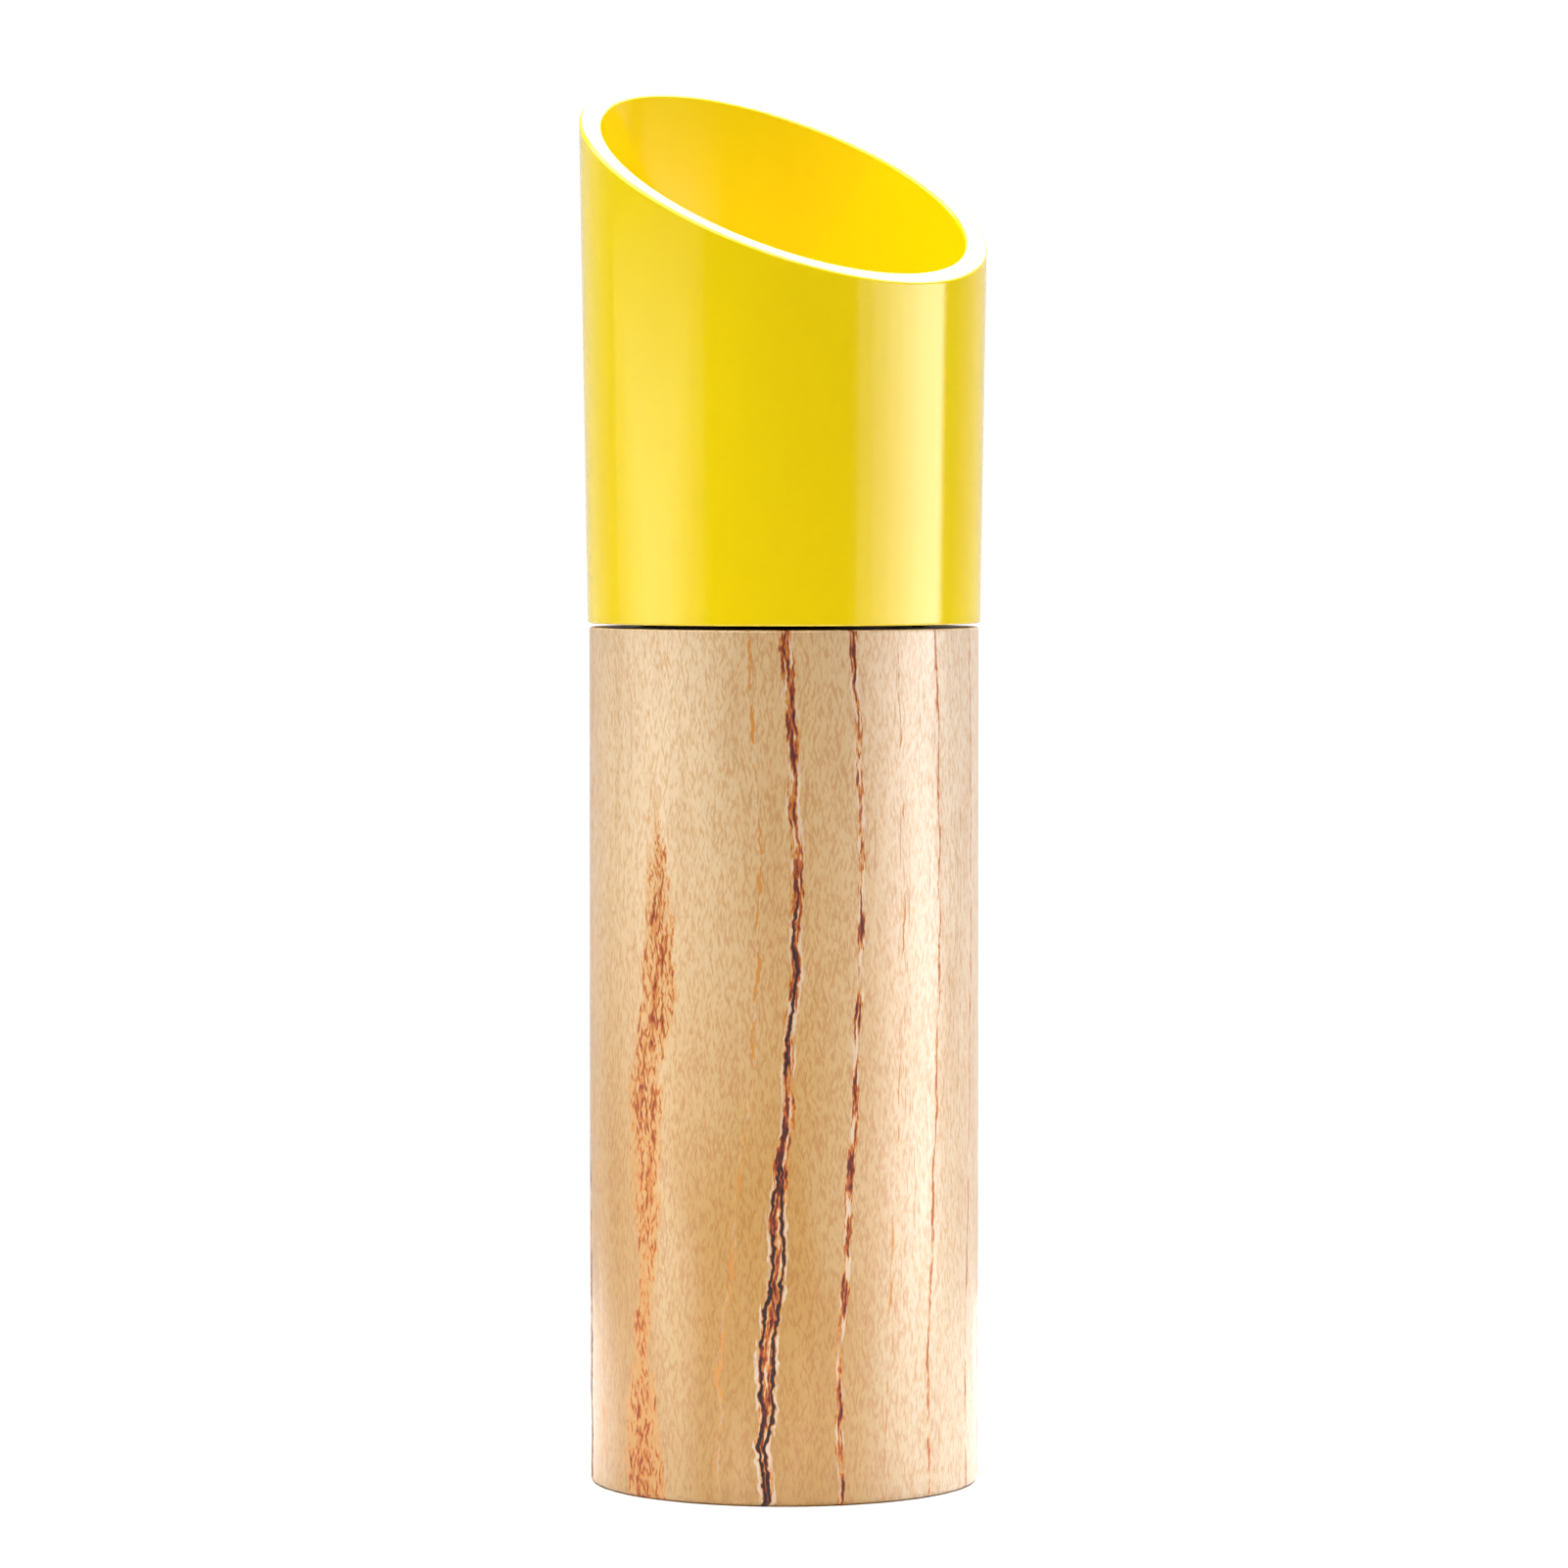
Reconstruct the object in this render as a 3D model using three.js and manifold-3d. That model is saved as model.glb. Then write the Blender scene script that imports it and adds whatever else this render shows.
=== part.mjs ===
// A pepper mill that stores upside down, with its grinder above the peppercorns so that none spills.
//
// A turned ash body holds the peppercorns. A plastic collar, open and cut off at a slant, turns on top
// of it to grind, and works as the handle and the spout once the mill is upended. The ceramic burrs sit in
// a housing whose plug pushes into a socket in the body: its ribs stop the housing from turning, two
// O-rings hold it, and the whole head pulls straight out for filling.
//
// Millimetres, +Z up. The origin is the centre of the body's base, and the slanted rim is highest on +Y.

import * as THREE from "three";
import { mergeVertices } from "three/addons/utils/BufferGeometryUtils.js";
import Module from "manifold-3d";

const wasm = await Module();
wasm.setup();

// ---- Driving dimensions -------------------------------------------------------------------------

const BODY_RADIUS = 25;
const BODY_HEIGHT = 110;
const BODY_FLOOR = 10; // solid wood below the peppercorns
const BODY_BORE = 16.8; // radius of the peppercorn chamber

const SEAM = 0.5; // open gap between the body and the collar
const COLLAR_RADIUS = 25.2; // outside, at the seam
const COLLAR_FLARE = Math.tan(THREE.MathUtils.degToRad(0.94)); // growth in radius per mm of height
const COLLAR_WALL = 2.8;
const CUT_HEIGHT = 166.9; // where the slanted cut crosses the axis
const CUT_TILT = THREE.MathUtils.degToRad(27.4);

const PLUG_RADIUS = 16.4; // the housing's plug
const SOCKET_BORE = 16.7;
const SOCKET_RADIUS = 18.6;
const SPINDLE_RADIUS = 2.5; // an M5 bolt, fixed along the axis
const HEX_FLATS = 8.4; // across the flats of the rotor core, which the hub drives

const REST = 0.3; // gap left between faces that rest on each other
const FIT = 0.1; // radial gap between pieces fixed together or turning on each other
const EDGE = 0.5; // chamfer of an edge
const SINK = 0.5; // how far a piece that is joined on starts inside the other
const PAST = 1; // how far a piece that cuts runs past the face it cuts
const LARGE = 48; // sides of a large round piece
const SMALL = 24; // sides of a small one
const TINY = 16; // sides of a screw
const ARMS = 3; // spokes, screws, ribs and spider arms alike

// ---- Levels, from the seam up and down ----------------------------------------------------------

const COLLAR_BASE = BODY_HEIGHT + SEAM;
const LEDGE_TOP = COLLAR_BASE + 3;
const GLIDE_BASE = LEDGE_TOP + REST / 2;
const GLIDE_THICKNESS = 0.4;
const FLANGE_BASE = GLIDE_BASE + GLIDE_THICKNESS + REST / 2;
const FLANGE_TOP = FLANGE_BASE + 2.2;
const HOUSING_TOP = FLANGE_TOP + 1;
const HUB_BASE = FLANGE_TOP + 0.4;
const HUB_TOP = HUB_BASE + 3.3;
const KNOB_BASE = HUB_TOP + 1.5;
const KNOB_HEIGHT = 5;

const SOCKET_TOP = BODY_HEIGHT - 0.4;
const SOCKET_HEIGHT = 22.4;
const SOCKET_BASE = SOCKET_TOP - SOCKET_HEIGHT;
const SOCKET_LIP = 1.4; // thickness of the lip that the plug stands on
const PLUG_BASE = SOCKET_BASE + SOCKET_LIP + REST;

const BURR_BASE = FLANGE_TOP - 9.7;
const BURR_HEIGHT = 8.6;
const THROAT = 4; // height of the narrowest ring inside the outer burr
const ROTOR_BASE = BURR_BASE - 3.2;
const ROTOR_TOP = BURR_BASE + BURR_HEIGHT - 0.1;
const CORE_BASE = ROTOR_BASE - 1.5;
const SPIDER_BASE = PLUG_BASE + 0.2;
const SPIDER_HEIGHT = 2.8;
const BUSH_TOP = SPIDER_BASE + SPIDER_HEIGHT + 0.4;
const SPRING_SEAT = BUSH_TOP + REST;
const WASHER_THICKNESS = 0.6;
const SPINDLE_TOP = KNOB_BASE + KNOB_HEIGHT + 0.5;

// ---- Making solids ------------------------------------------------------------------------------

// A closed geometry as a manifold-3d solid, for joining and cutting.
function solid(geometry) {
  const bare = geometry.clone();
  bare.deleteAttribute("normal");
  bare.deleteAttribute("uv");
  const merged = mergeVertices(bare, 1e-4);
  return new wasm.Manifold(
    new wasm.Mesh({
      numProp: 3,
      vertProperties: merged.attributes.position.array,
      triVerts: new Uint32Array(merged.index.array),
    }),
  );
}

// The other way round: a solid as a flat-shaded geometry.
function geometryOf(made) {
  const mesh = made.getMesh();
  const geometry = new THREE.BufferGeometry();
  geometry.setAttribute("position", new THREE.BufferAttribute(mesh.vertProperties, 3));
  geometry.setIndex(new THREE.BufferAttribute(mesh.triVerts, 1));
  const flat = geometry.toNonIndexed();
  flat.computeVertexNormals();
  return flat;
}

// A profile of [radius, height] points turned about Z. It starts and ends on the axis, or is closed here.
function turned(profile, sides = LARGE) {
  const points = profile.map(([radius, height]) => new THREE.Vector2(radius, height));
  const onAxis = points[0].x === 0 && points.at(-1).x === 0;
  if (THREE.ShapeUtils.area(points) < 0) points.reverse();
  if (!onAxis) points.push(points[0].clone());
  return new THREE.LatheGeometry(points, sides).rotateX(Math.PI / 2);
}

// Points of an arc in a profile, from one angle to another in degrees, ends included.
function arc(radius, height, size, from, to, steps) {
  return Array.from({ length: steps + 1 }, (_, i) => {
    const angle = THREE.MathUtils.degToRad(from + ((to - from) * i) / steps);
    return [radius + size * Math.cos(angle), height + size * Math.sin(angle)];
  });
}

const ring = (inner, outer, base, top, sides = LARGE) =>
  turned([[inner, base], [outer, base], [outer, top], [inner, top]], sides);

const disc = (radius, base, top, sides = LARGE) =>
  turned([[0, base], [radius, base], [radius, top], [0, top]], sides);

// A hexagonal bar, by the distance across its flats.
const hexBar = (flats, base, top) => disc(flats / Math.sqrt(3), base, top, 6);

// A bar of the given width that runs out along a radius at an angle.
function radialBar(inner, outer, width, base, top, angle) {
  return new THREE.BoxGeometry(outer - inner, width, top - base)
    .translate((inner + outer) / 2, 0, (base + top) / 2)
    .rotateZ(angle);
}

// The angles of the arms, the first on +Y.
const armAngles = Array.from({ length: ARMS }, (_, i) => Math.PI / 2 + (i * 2 * Math.PI) / ARMS);

// Joins and cuts lists of geometries with a first one.
function shaped(base, { add = [], cut = [] }) {
  let made = solid(base);
  for (const piece of add) made = made.add(solid(piece));
  for (const piece of cut) made = made.subtract(solid(piece));
  return geometryOf(made);
}

// Cuts teeth into a turned burr. Each tooth grows to depth(radius, z) across its width and turns as it rises;
// points where the depth is nought stay where they are.
function toothed(geometry, teeth, twist, depth) {
  const position = geometry.attributes.position;
  for (let i = 0; i < position.count; i++) {
    const x = position.getX(i);
    const y = position.getY(i);
    const z = position.getZ(i);
    const reach = depth(Math.hypot(x, y), z);
    if (reach === 0) continue;
    const pitches = (Math.atan2(y, x) / (2 * Math.PI)) * teeth;
    const share = pitches - Math.floor(pitches + 1e-6);
    const radius = Math.hypot(x, y) + reach * share;
    const angle = Math.atan2(y, x) + twist * z;
    position.setXY(i, radius * Math.cos(angle), radius * Math.sin(angle));
  }
  return geometry;
}

// ---- The body, which stands still ---------------------------------------------------------------

const BASE_ROUND = 0.9;
const TOP_ROUND = 0.6;
const CHAMBER_ROUND = 2;

function woodBody() {
  const seat = SOCKET_RADIUS + FIT;
  const seatFloor = SOCKET_BASE - FIT;
  return turned([
    [0, 0],
    ...arc(BODY_RADIUS - BASE_ROUND, BASE_ROUND, BASE_ROUND, -90, 0, 2),
    ...arc(BODY_RADIUS - TOP_ROUND, BODY_HEIGHT - TOP_ROUND, TOP_ROUND, 0, 90, 2),
    [seat, BODY_HEIGHT],
    [seat, seatFloor],
    [BODY_BORE, seatFloor],
    ...arc(BODY_BORE - CHAMBER_ROUND, BODY_FLOOR + CHAMBER_ROUND, CHAMBER_ROUND, 0, -90, 2),
    [0, BODY_FLOOR],
  ]);
}

// The plastic socket glued into the body, with a lip below and ribs that stop the plug from turning.
const RIB_WIDTH = 4;
const RIB_TOP = PLUG_BASE + 4.3;
const RIB_RADIUS = SOCKET_BORE - 1.2; // how near to the axis the ribs reach
const LIP_BORE = SOCKET_BORE - 1.3;

function mechanismSocket() {
  const ribs = armAngles.map((angle) =>
    radialBar(RIB_RADIUS, SOCKET_RADIUS - SINK, RIB_WIDTH, SOCKET_BASE + SINK, RIB_TOP, angle),
  );
  const sleeve = turned([
    [LIP_BORE, SOCKET_BASE],
    [SOCKET_RADIUS, SOCKET_BASE],
    [SOCKET_RADIUS, SOCKET_TOP],
    [SOCKET_BORE + EDGE, SOCKET_TOP],
    [SOCKET_BORE, SOCKET_TOP - EDGE],
    [SOCKET_BORE, SOCKET_BASE + SOCKET_LIP],
    [LIP_BORE, SOCKET_BASE + SOCKET_LIP],
  ]);
  return shaped(sleeve, { add: ribs });
}

// ---- The mechanism, which the ribs hold still while the collar turns ----------------------------

const GROOVE_RADIUS = PLUG_RADIUS - 1.3;
const GROOVE_WIDTH = 2.2;
const GROOVES = [PLUG_BASE + 8, PLUG_BASE + 14.4]; // lower edges
const FLANGE_RADIUS = 18.4;
const SPIDER_SEAT = 13.9; // radius of the recess for the spider
const BURR_SEAT = 14.1; // radius of the recess for the fixed burr
const HOUSING_THROAT = 12.8; // radius of the passage between the two
const LUG_WIDTH = 2; // the lugs stop the fixed burr from turning
const LUG_DEPTH = 0.6;

function burrHousing() {
  const grooves = GROOVES.flatMap((base) => [
    [PLUG_RADIUS, base],
    [GROOVE_RADIUS, base],
    [GROOVE_RADIUS, base + GROOVE_WIDTH],
    [PLUG_RADIUS, base + GROOVE_WIDTH],
  ]);
  const seatTop = SPIDER_BASE + SPIDER_HEIGHT + REST;
  const shell = turned([
    [SPIDER_SEAT, PLUG_BASE],
    [PLUG_RADIUS - EDGE, PLUG_BASE],
    [PLUG_RADIUS, PLUG_BASE + EDGE],
    ...grooves,
    [PLUG_RADIUS, FLANGE_BASE],
    [FLANGE_RADIUS, FLANGE_BASE],
    [FLANGE_RADIUS, FLANGE_TOP],
    [PLUG_RADIUS, FLANGE_TOP],
    [PLUG_RADIUS, HOUSING_TOP],
    [BURR_SEAT, HOUSING_TOP],
    [BURR_SEAT, BURR_BASE - REST],
    [HOUSING_THROAT, BURR_BASE - REST],
    [HOUSING_THROAT, seatTop + SPIDER_SEAT - HOUSING_THROAT],
    [SPIDER_SEAT, seatTop],
  ]);
  const slotWidth = RIB_WIDTH + 2 * REST;
  const slots = armAngles.map((angle) =>
    radialBar(RIB_RADIUS - REST, PLUG_RADIUS + PAST, slotWidth, PLUG_BASE - PAST, RIB_TOP + REST, angle),
  );
  const lugBase = BURR_BASE - REST - SINK;
  const lugs = armAngles.map((angle) =>
    radialBar(BURR_SEAT - LUG_DEPTH, BURR_SEAT + SINK, LUG_WIDTH, lugBase, BURR_BASE + BURR_HEIGHT, angle),
  );
  return shaped(shell, { add: lugs, cut: slots });
}

const ORING_CORD = 0.72; // radius

function oring() {
  return new THREE.TorusGeometry(GROOVE_RADIUS + FIT + ORING_CORD, ORING_CORD, 6, LARGE);
}

// The fixed burr: the peppercorns are cracked where it narrows, and ground where it opens again.
const BURR_ENTRY_RADIUS = 11.2;
const BURR_THROAT_RADIUS = 10;
const BURR_MOUTH_RADIUS = 12.1;
const BURR_TWIST = 0.05; // radians that the teeth turn per mm of height
const OUTER_TEETH = 16;
const OUTER_TOOTH_DEPTH = 0.6;

function outerBurr() {
  const outside = BURR_SEAT - 2 * FIT;
  const profile = turned([
    [BURR_ENTRY_RADIUS, 0],
    [outside, 0],
    [outside, BURR_HEIGHT],
    [BURR_MOUTH_RADIUS, BURR_HEIGHT],
    [BURR_THROAT_RADIUS, THROAT],
  ]);
  const inside = BURR_MOUTH_RADIUS + EDGE;
  const depth = (radius) => (radius < inside ? OUTER_TOOTH_DEPTH : 0);
  const teeth = toothed(profile, OUTER_TEETH, BURR_TWIST, depth);
  const notchRadius = BURR_SEAT - LUG_DEPTH - REST;
  const notches = armAngles.map((angle) =>
    radialBar(notchRadius, BURR_SEAT + PAST, LUG_WIDTH + 2 * REST, -PAST, BURR_HEIGHT + PAST, angle),
  );
  return shaped(teeth, { cut: notches });
}

// The ring over the fixed burr, with notches for a fitting tool.
const RETAINER_BORE = 12.35;
const RETAINER_HEIGHT = 1.6;
const NOTCH_WIDTH = 2.4;
const NOTCH_DEPTH = 0.6;

function burrRetainer() {
  const outside = RETAINER_BORE + NOTCH_DEPTH;
  const floor = RETAINER_HEIGHT / 2;
  const between = Math.PI / ARMS;
  const notches = armAngles.map((angle) =>
    radialBar(RETAINER_BORE - PAST, outside, NOTCH_WIDTH, floor, RETAINER_HEIGHT + PAST, angle + between),
  );
  return shaped(ring(RETAINER_BORE, BURR_SEAT - FIT, 0, RETAINER_HEIGHT), { cut: notches });
}

// Three arms across the plug's mouth carry the spindle; peppercorns fall between them.
const SPIDER_BORE = 3.6;
const SPIDER_BOSS_RADIUS = 5;
const SPIDER_RIM = 11.6; // inside of the rim
const SPIDER_ARM_WIDTH = 3.2;

function bearingSpider() {
  const arms = armAngles.map((angle) =>
    radialBar(SPIDER_BORE + SINK, SPIDER_RIM + SINK, SPIDER_ARM_WIDTH, 0, SPIDER_HEIGHT, angle),
  );
  const boss = ring(SPIDER_BORE, SPIDER_BOSS_RADIUS, 0, SPIDER_HEIGHT, SMALL);
  return shaped(ring(SPIDER_RIM, SPIDER_SEAT - FIT, 0, SPIDER_HEIGHT), { add: [boss, ...arms] });
}

// The bush that the spindle turns in, pushed up into the spider.
const BUSH_FLANGE_RADIUS = 4.6;
const BUSH_FLANGE = 0.6;

function bearingBush() {
  const bore = SPINDLE_RADIUS + FIT;
  const outside = SPIDER_BORE - FIT;
  const top = BUSH_TOP - SPIDER_BASE;
  return turned([
    [bore, -BUSH_FLANGE - FIT],
    [BUSH_FLANGE_RADIUS, -BUSH_FLANGE - FIT],
    [BUSH_FLANGE_RADIUS, -FIT],
    [outside, -FIT],
    [outside, top],
    [bore, top],
  ], SMALL);
}

// ---- The head, which turns with the collar ------------------------------------------------------

const SCREW_CIRCLE = 20.4;
const SCREW_RADIUS = 0.9;
const SCREW_LENGTH = 5.4;
const SCREW_HEAD_RADIUS = 1.7;
const SCREW_HEAD_HEIGHT = 1.25;
const SCREW_SLOT = 0.45;

const LEDGE_BORE = PLUG_RADIUS + REST;
const LEDGE_CORNER = 0.8; // fillet between the ledge and the wall
const BOSS_RADIUS = 1.7;
const BOSS_WEB = 2.4;

const HUB_RADIUS = 22.15;
const HUB_BORE = 17.2;
const HUB_BOSS_RADIUS = 7;
const SPOKE_WIDTH = 4;

const collarOutside = (height) => COLLAR_RADIUS + COLLAR_FLARE * (height - COLLAR_BASE);
const collarInside = (height) => collarOutside(height) - COLLAR_WALL;

// The collar before its bosses and its slanted cut: a flared tube with a ledge inside its lower end.
function collarBlank() {
  const top = CUT_HEIGHT + COLLAR_RADIUS;
  const corner = collarInside(LEDGE_TOP);
  return turned([
    [LEDGE_BORE, COLLAR_BASE],
    [collarOutside(COLLAR_BASE) - EDGE, COLLAR_BASE],
    [collarOutside(COLLAR_BASE), COLLAR_BASE + EDGE],
    [collarOutside(top), top],
    [collarInside(top), top],
    [corner, LEDGE_TOP + LEDGE_CORNER],
    [corner - LEDGE_CORNER, LEDGE_TOP],
    [LEDGE_BORE, LEDGE_TOP],
  ]);
}

// A bar on the screw circle at an angle, for the bosses and the holes in them.
const onScrewCircle = (radius, base, top, angle) =>
  disc(radius, base, top, TINY).translate(SCREW_CIRCLE, 0, 0).rotateZ(angle);

// The ledge hangs from the housing's flange, and the bosses on it carry the hub.
function collar() {
  const block = 4 * COLLAR_RADIUS;
  const aboveCut = new THREE.BoxGeometry(block, block, block)
    .translate(0, 0, block / 2)
    .rotateX(CUT_TILT)
    .translate(0, 0, CUT_HEIGHT);
  const bossTop = HUB_BASE - 2 * FIT;
  const bossBase = LEDGE_TOP - SINK;
  const bosses = armAngles.flatMap((angle) => [
    onScrewCircle(BOSS_RADIUS, bossBase, bossTop, angle),
    radialBar(SCREW_CIRCLE, collarInside(LEDGE_TOP) + SINK, BOSS_WEB, bossBase, bossTop, angle),
  ]);
  const pilots = armAngles.map((angle) =>
    onScrewCircle(SCREW_RADIUS + FIT, LEDGE_TOP, bossTop + PAST, angle),
  );
  return shaped(collarBlank(), { add: bosses, cut: [aboveCut, ...pilots] });
}

// A low-friction ring between the collar's ledge and the housing's flange.
const glideWasher = () => ring(LEDGE_BORE, FLANGE_RADIUS - 2 * FIT, 0, GLIDE_THICKNESS);

// The collar's floor: a rim screwed to the bosses, and spokes to a boss with a hexagonal hole for the core.
function driveHub() {
  const height = HUB_TOP - HUB_BASE;
  const spokeBase = HOUSING_TOP + 2 * REST - HUB_BASE;
  const spokes = armAngles.map((angle) =>
    radialBar(HUB_BOSS_RADIUS - SINK, HUB_BORE + SINK, SPOKE_WIDTH, spokeBase, height, angle),
  );
  const holes = armAngles.map((angle) => onScrewCircle(SCREW_RADIUS + 2 * FIT, -PAST, height + PAST, angle));
  const rim = turned([
    [HUB_BORE, 0],
    [HUB_RADIUS, 0],
    [HUB_RADIUS, height - EDGE],
    [HUB_RADIUS - EDGE, height],
    [HUB_BORE + EDGE, height],
    [HUB_BORE, height - EDGE],
  ]);
  return shaped(rim, {
    add: [disc(HUB_BOSS_RADIUS, spokeBase, height, SMALL), ...spokes],
    cut: [hexBar(HEX_FLATS + 2 * FIT, -PAST, height + PAST), ...holes],
  });
}

// A pan-head screw with a crosshead, modelled from under its head.
function hubScrew() {
  const tip = SCREW_RADIUS / 2;
  const profile = [
    [0, -SCREW_LENGTH],
    [tip, -SCREW_LENGTH],
    [SCREW_RADIUS, tip - SCREW_LENGTH],
    [SCREW_RADIUS, 0],
    [SCREW_HEAD_RADIUS, 0],
    [SCREW_HEAD_RADIUS, SCREW_HEAD_HEIGHT / 2],
    [SCREW_HEAD_RADIUS - EDGE, SCREW_HEAD_HEIGHT],
    [0, SCREW_HEAD_HEIGHT],
  ];
  const slots = [0, Math.PI / 2].map((angle) =>
    new THREE.BoxGeometry(2 * SCREW_RADIUS, SCREW_SLOT, SCREW_HEAD_HEIGHT)
      .translate(0, 0, SCREW_HEAD_HEIGHT)
      .rotateZ(angle),
  );
  return shaped(turned(profile, TINY), { cut: slots });
}

// The spindle: its head hangs below the spider, and a flat along it keeps it turning with the rotor.
const SPINDLE_HEAD_RADIUS = 4.2;
const SPINDLE_HEAD = 1.8;
const SPINDLE_BASE = SPIDER_BASE - BUSH_FLANGE - FIT - REST - WASHER_THICKNESS - REST - SPINDLE_HEAD;
const FLAT = SPINDLE_RADIUS - 0.6; // distance of the flat from the axis

// A block that cuts away everything beyond a flat at a distance from the axis.
function beyondFlat(distance, base, top) {
  const size = 2 * HEX_FLATS;
  return new THREE.BoxGeometry(size, size, top - base).translate(0, distance + size / 2, (base + top) / 2);
}

function spindle() {
  const length = SPINDLE_TOP - SPINDLE_BASE;
  const stem = turned([
    [0, 0],
    [SPINDLE_HEAD_RADIUS - EDGE, 0],
    [SPINDLE_HEAD_RADIUS, EDGE],
    [SPINDLE_HEAD_RADIUS, SPINDLE_HEAD],
    [SPINDLE_RADIUS, SPINDLE_HEAD],
    [SPINDLE_RADIUS, length - EDGE],
    [SPINDLE_RADIUS - EDGE, length],
    [0, length],
  ], SMALL);
  const flatBase = CORE_BASE - PAST - SPINDLE_BASE;
  return shaped(stem, { cut: [beyondFlat(FLAT, flatBase, length + PAST)] });
}

const SPINDLE_WASHER_RADIUS = 4.6;
const SPRING_WASHER_RADIUS = 5.2;

function washer(outer) {
  return ring(SPINDLE_RADIUS + 2 * FIT, outer, 0, WASHER_THICKNESS, SMALL);
}

// The compression spring that lifts the rotor against the adjuster.
class Coil extends THREE.Curve {
  constructor(radius, height, turns) {
    super();
    Object.assign(this, { radius, height, turns });
  }
  getPoint(share, target = new THREE.Vector3()) {
    const angle = share * this.turns * 2 * Math.PI;
    return target.set(this.radius * Math.cos(angle), this.radius * Math.sin(angle), share * this.height);
  }
}

const SPRING_WIRE = 0.45; // radius
const SPRING_RADIUS = 4.2; // to the middle of the wire
const SPRING_TURNS = 4.5;
const STEPS_PER_TURN = 12;

function burrSpring() {
  const base = SPRING_SEAT + WASHER_THICKNESS + REST;
  const height = CORE_BASE - REST - base - 2 * SPRING_WIRE;
  const section = new THREE.Shape().absarc(0, 0, SPRING_WIRE, 0, 2 * Math.PI);
  return new THREE.ExtrudeGeometry(section, {
    curveSegments: 3,
    steps: STEPS_PER_TURN * SPRING_TURNS,
    extrudePath: new Coil(SPRING_RADIUS, height, SPRING_TURNS),
  }).translate(0, 0, base + SPRING_WIRE);
}

// ---- The rotor, which the adjuster moves along the axis -----------------------------------------

const CORE_FLANGE = 1.2;
const CORE_FLANGE_RADIUS = 5.6;

// A hexagonal core on the spindle, with a flange under the burr; its top end is driven by the hub.
function rotorCore() {
  const length = KNOB_BASE - REST - CORE_BASE;
  const hole = shaped(disc(SPINDLE_RADIUS + FIT, -PAST, length + PAST, SMALL), {
    cut: [beyondFlat(FLAT + FIT, -2 * PAST, length + 2 * PAST)],
  });
  return shaped(disc(CORE_FLANGE_RADIUS, 0, CORE_FLANGE, SMALL), {
    add: [hexBar(HEX_FLATS, 0, length)],
    cut: [hole],
  });
}

// The turning burr: deep flutes draw peppercorns in, and fine teeth finish them against the fixed burr.
const BURR_GAP = 0.45;
const BURR_FOOT_RADIUS = 6.2;
const FLUTES = 12;
const FLUTE_DEPTH = 1;
const TOOTH_DEPTH = 0.5;

function innerBurr() {
  const height = ROTOR_TOP - ROTOR_BASE;
  const shoulder = BURR_BASE + THROAT - ROTOR_BASE;
  const shoulderRadius = BURR_THROAT_RADIUS - BURR_GAP;
  const slope = (BURR_MOUTH_RADIUS - BURR_THROAT_RADIUS) / (BURR_HEIGHT - THROAT);
  const topRadius = shoulderRadius + slope * (height - shoulder);
  const cone = turned([
    [0, 0],
    [BURR_FOOT_RADIUS, 0],
    [(BURR_FOOT_RADIUS + shoulderRadius) / 2, shoulder / 2],
    [shoulderRadius, shoulder],
    [topRadius, height],
    [0, height],
  ]);
  const fluted = toothed(cone, FLUTES, BURR_TWIST, (radius, z) => {
    if (radius < BURR_FOOT_RADIUS / 2) return 0;
    return z < shoulder - EDGE ? -FLUTE_DEPTH : -TOOTH_DEPTH;
  });
  return shaped(fluted, { cut: [hexBar(HEX_FLATS + 2 * FIT, -PAST, height + PAST)] });
}

const CLIP_RADIUS = 6.8;
const CLIP_THICKNESS = 0.8;

function burrClip() {
  return shaped(disc(CLIP_RADIUS, 0, CLIP_THICKNESS, SMALL), {
    cut: [hexBar(HEX_FLATS + FIT, -PAST, CLIP_THICKNESS + PAST)],
  });
}

// ---- The adjuster: a finger wheel threaded on the spindle, pushing the rotor down ---------------

const INSERT_RADIUS = 3.3;
const KNOB_RADIUS = 9; // over the crests of its rim
const SCALLOPS = 12;
const SCALLOP_DEPTH = 0.8;
const SCALLOP_POINTS = 5;
const KNOB_BEVEL = 0.4;

function adjusterKnob() {
  const count = SCALLOPS * SCALLOP_POINTS;
  const rim = Array.from({ length: count }, (_, i) => {
    const angle = (i / count) * 2 * Math.PI;
    const radius = KNOB_RADIUS - (SCALLOP_DEPTH / 2) * (1 - Math.cos(SCALLOPS * angle));
    return new THREE.Vector2(radius * Math.cos(angle), radius * Math.sin(angle));
  });
  const outline = new THREE.Shape(rim);
  outline.holes.push(new THREE.Path().absarc(0, 0, INSERT_RADIUS + FIT, 0, 2 * Math.PI, true));
  return new THREE.ExtrudeGeometry(outline, {
    depth: KNOB_HEIGHT - 2 * KNOB_BEVEL,
    bevelThickness: KNOB_BEVEL,
    bevelSize: KNOB_BEVEL,
    bevelOffset: -KNOB_BEVEL,
    bevelSegments: 1,
    curveSegments: 12,
  }).translate(0, 0, KNOB_BEVEL);
}

const knobInsert = () => ring(SPINDLE_RADIUS + FIT, INSERT_RADIUS, 2 * FIT, KNOB_HEIGHT - 2 * REST, SMALL);

// ---- Materials and assembly ---------------------------------------------------------------------

const finish = (color, roughness, metalness = 0) =>
  new THREE.MeshStandardMaterial({ color, roughness, metalness });

const materials = {
  ash: finish(0xdcc09a, 0.6),
  yellow: finish(0xf5d400, 0.2),
  black: finish(0x1d1d1f, 0.5),
  ceramic: finish(0xf1ece2, 0.45),
  steel: finish(0xb9bcc0, 0.3, 1),
  brass: finish(0xc9a24a, 0.35, 1),
  nylon: finish(0xe9e6dd, 0.5),
  rubber: finish(0x2a2a2c, 0.8),
};

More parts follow.
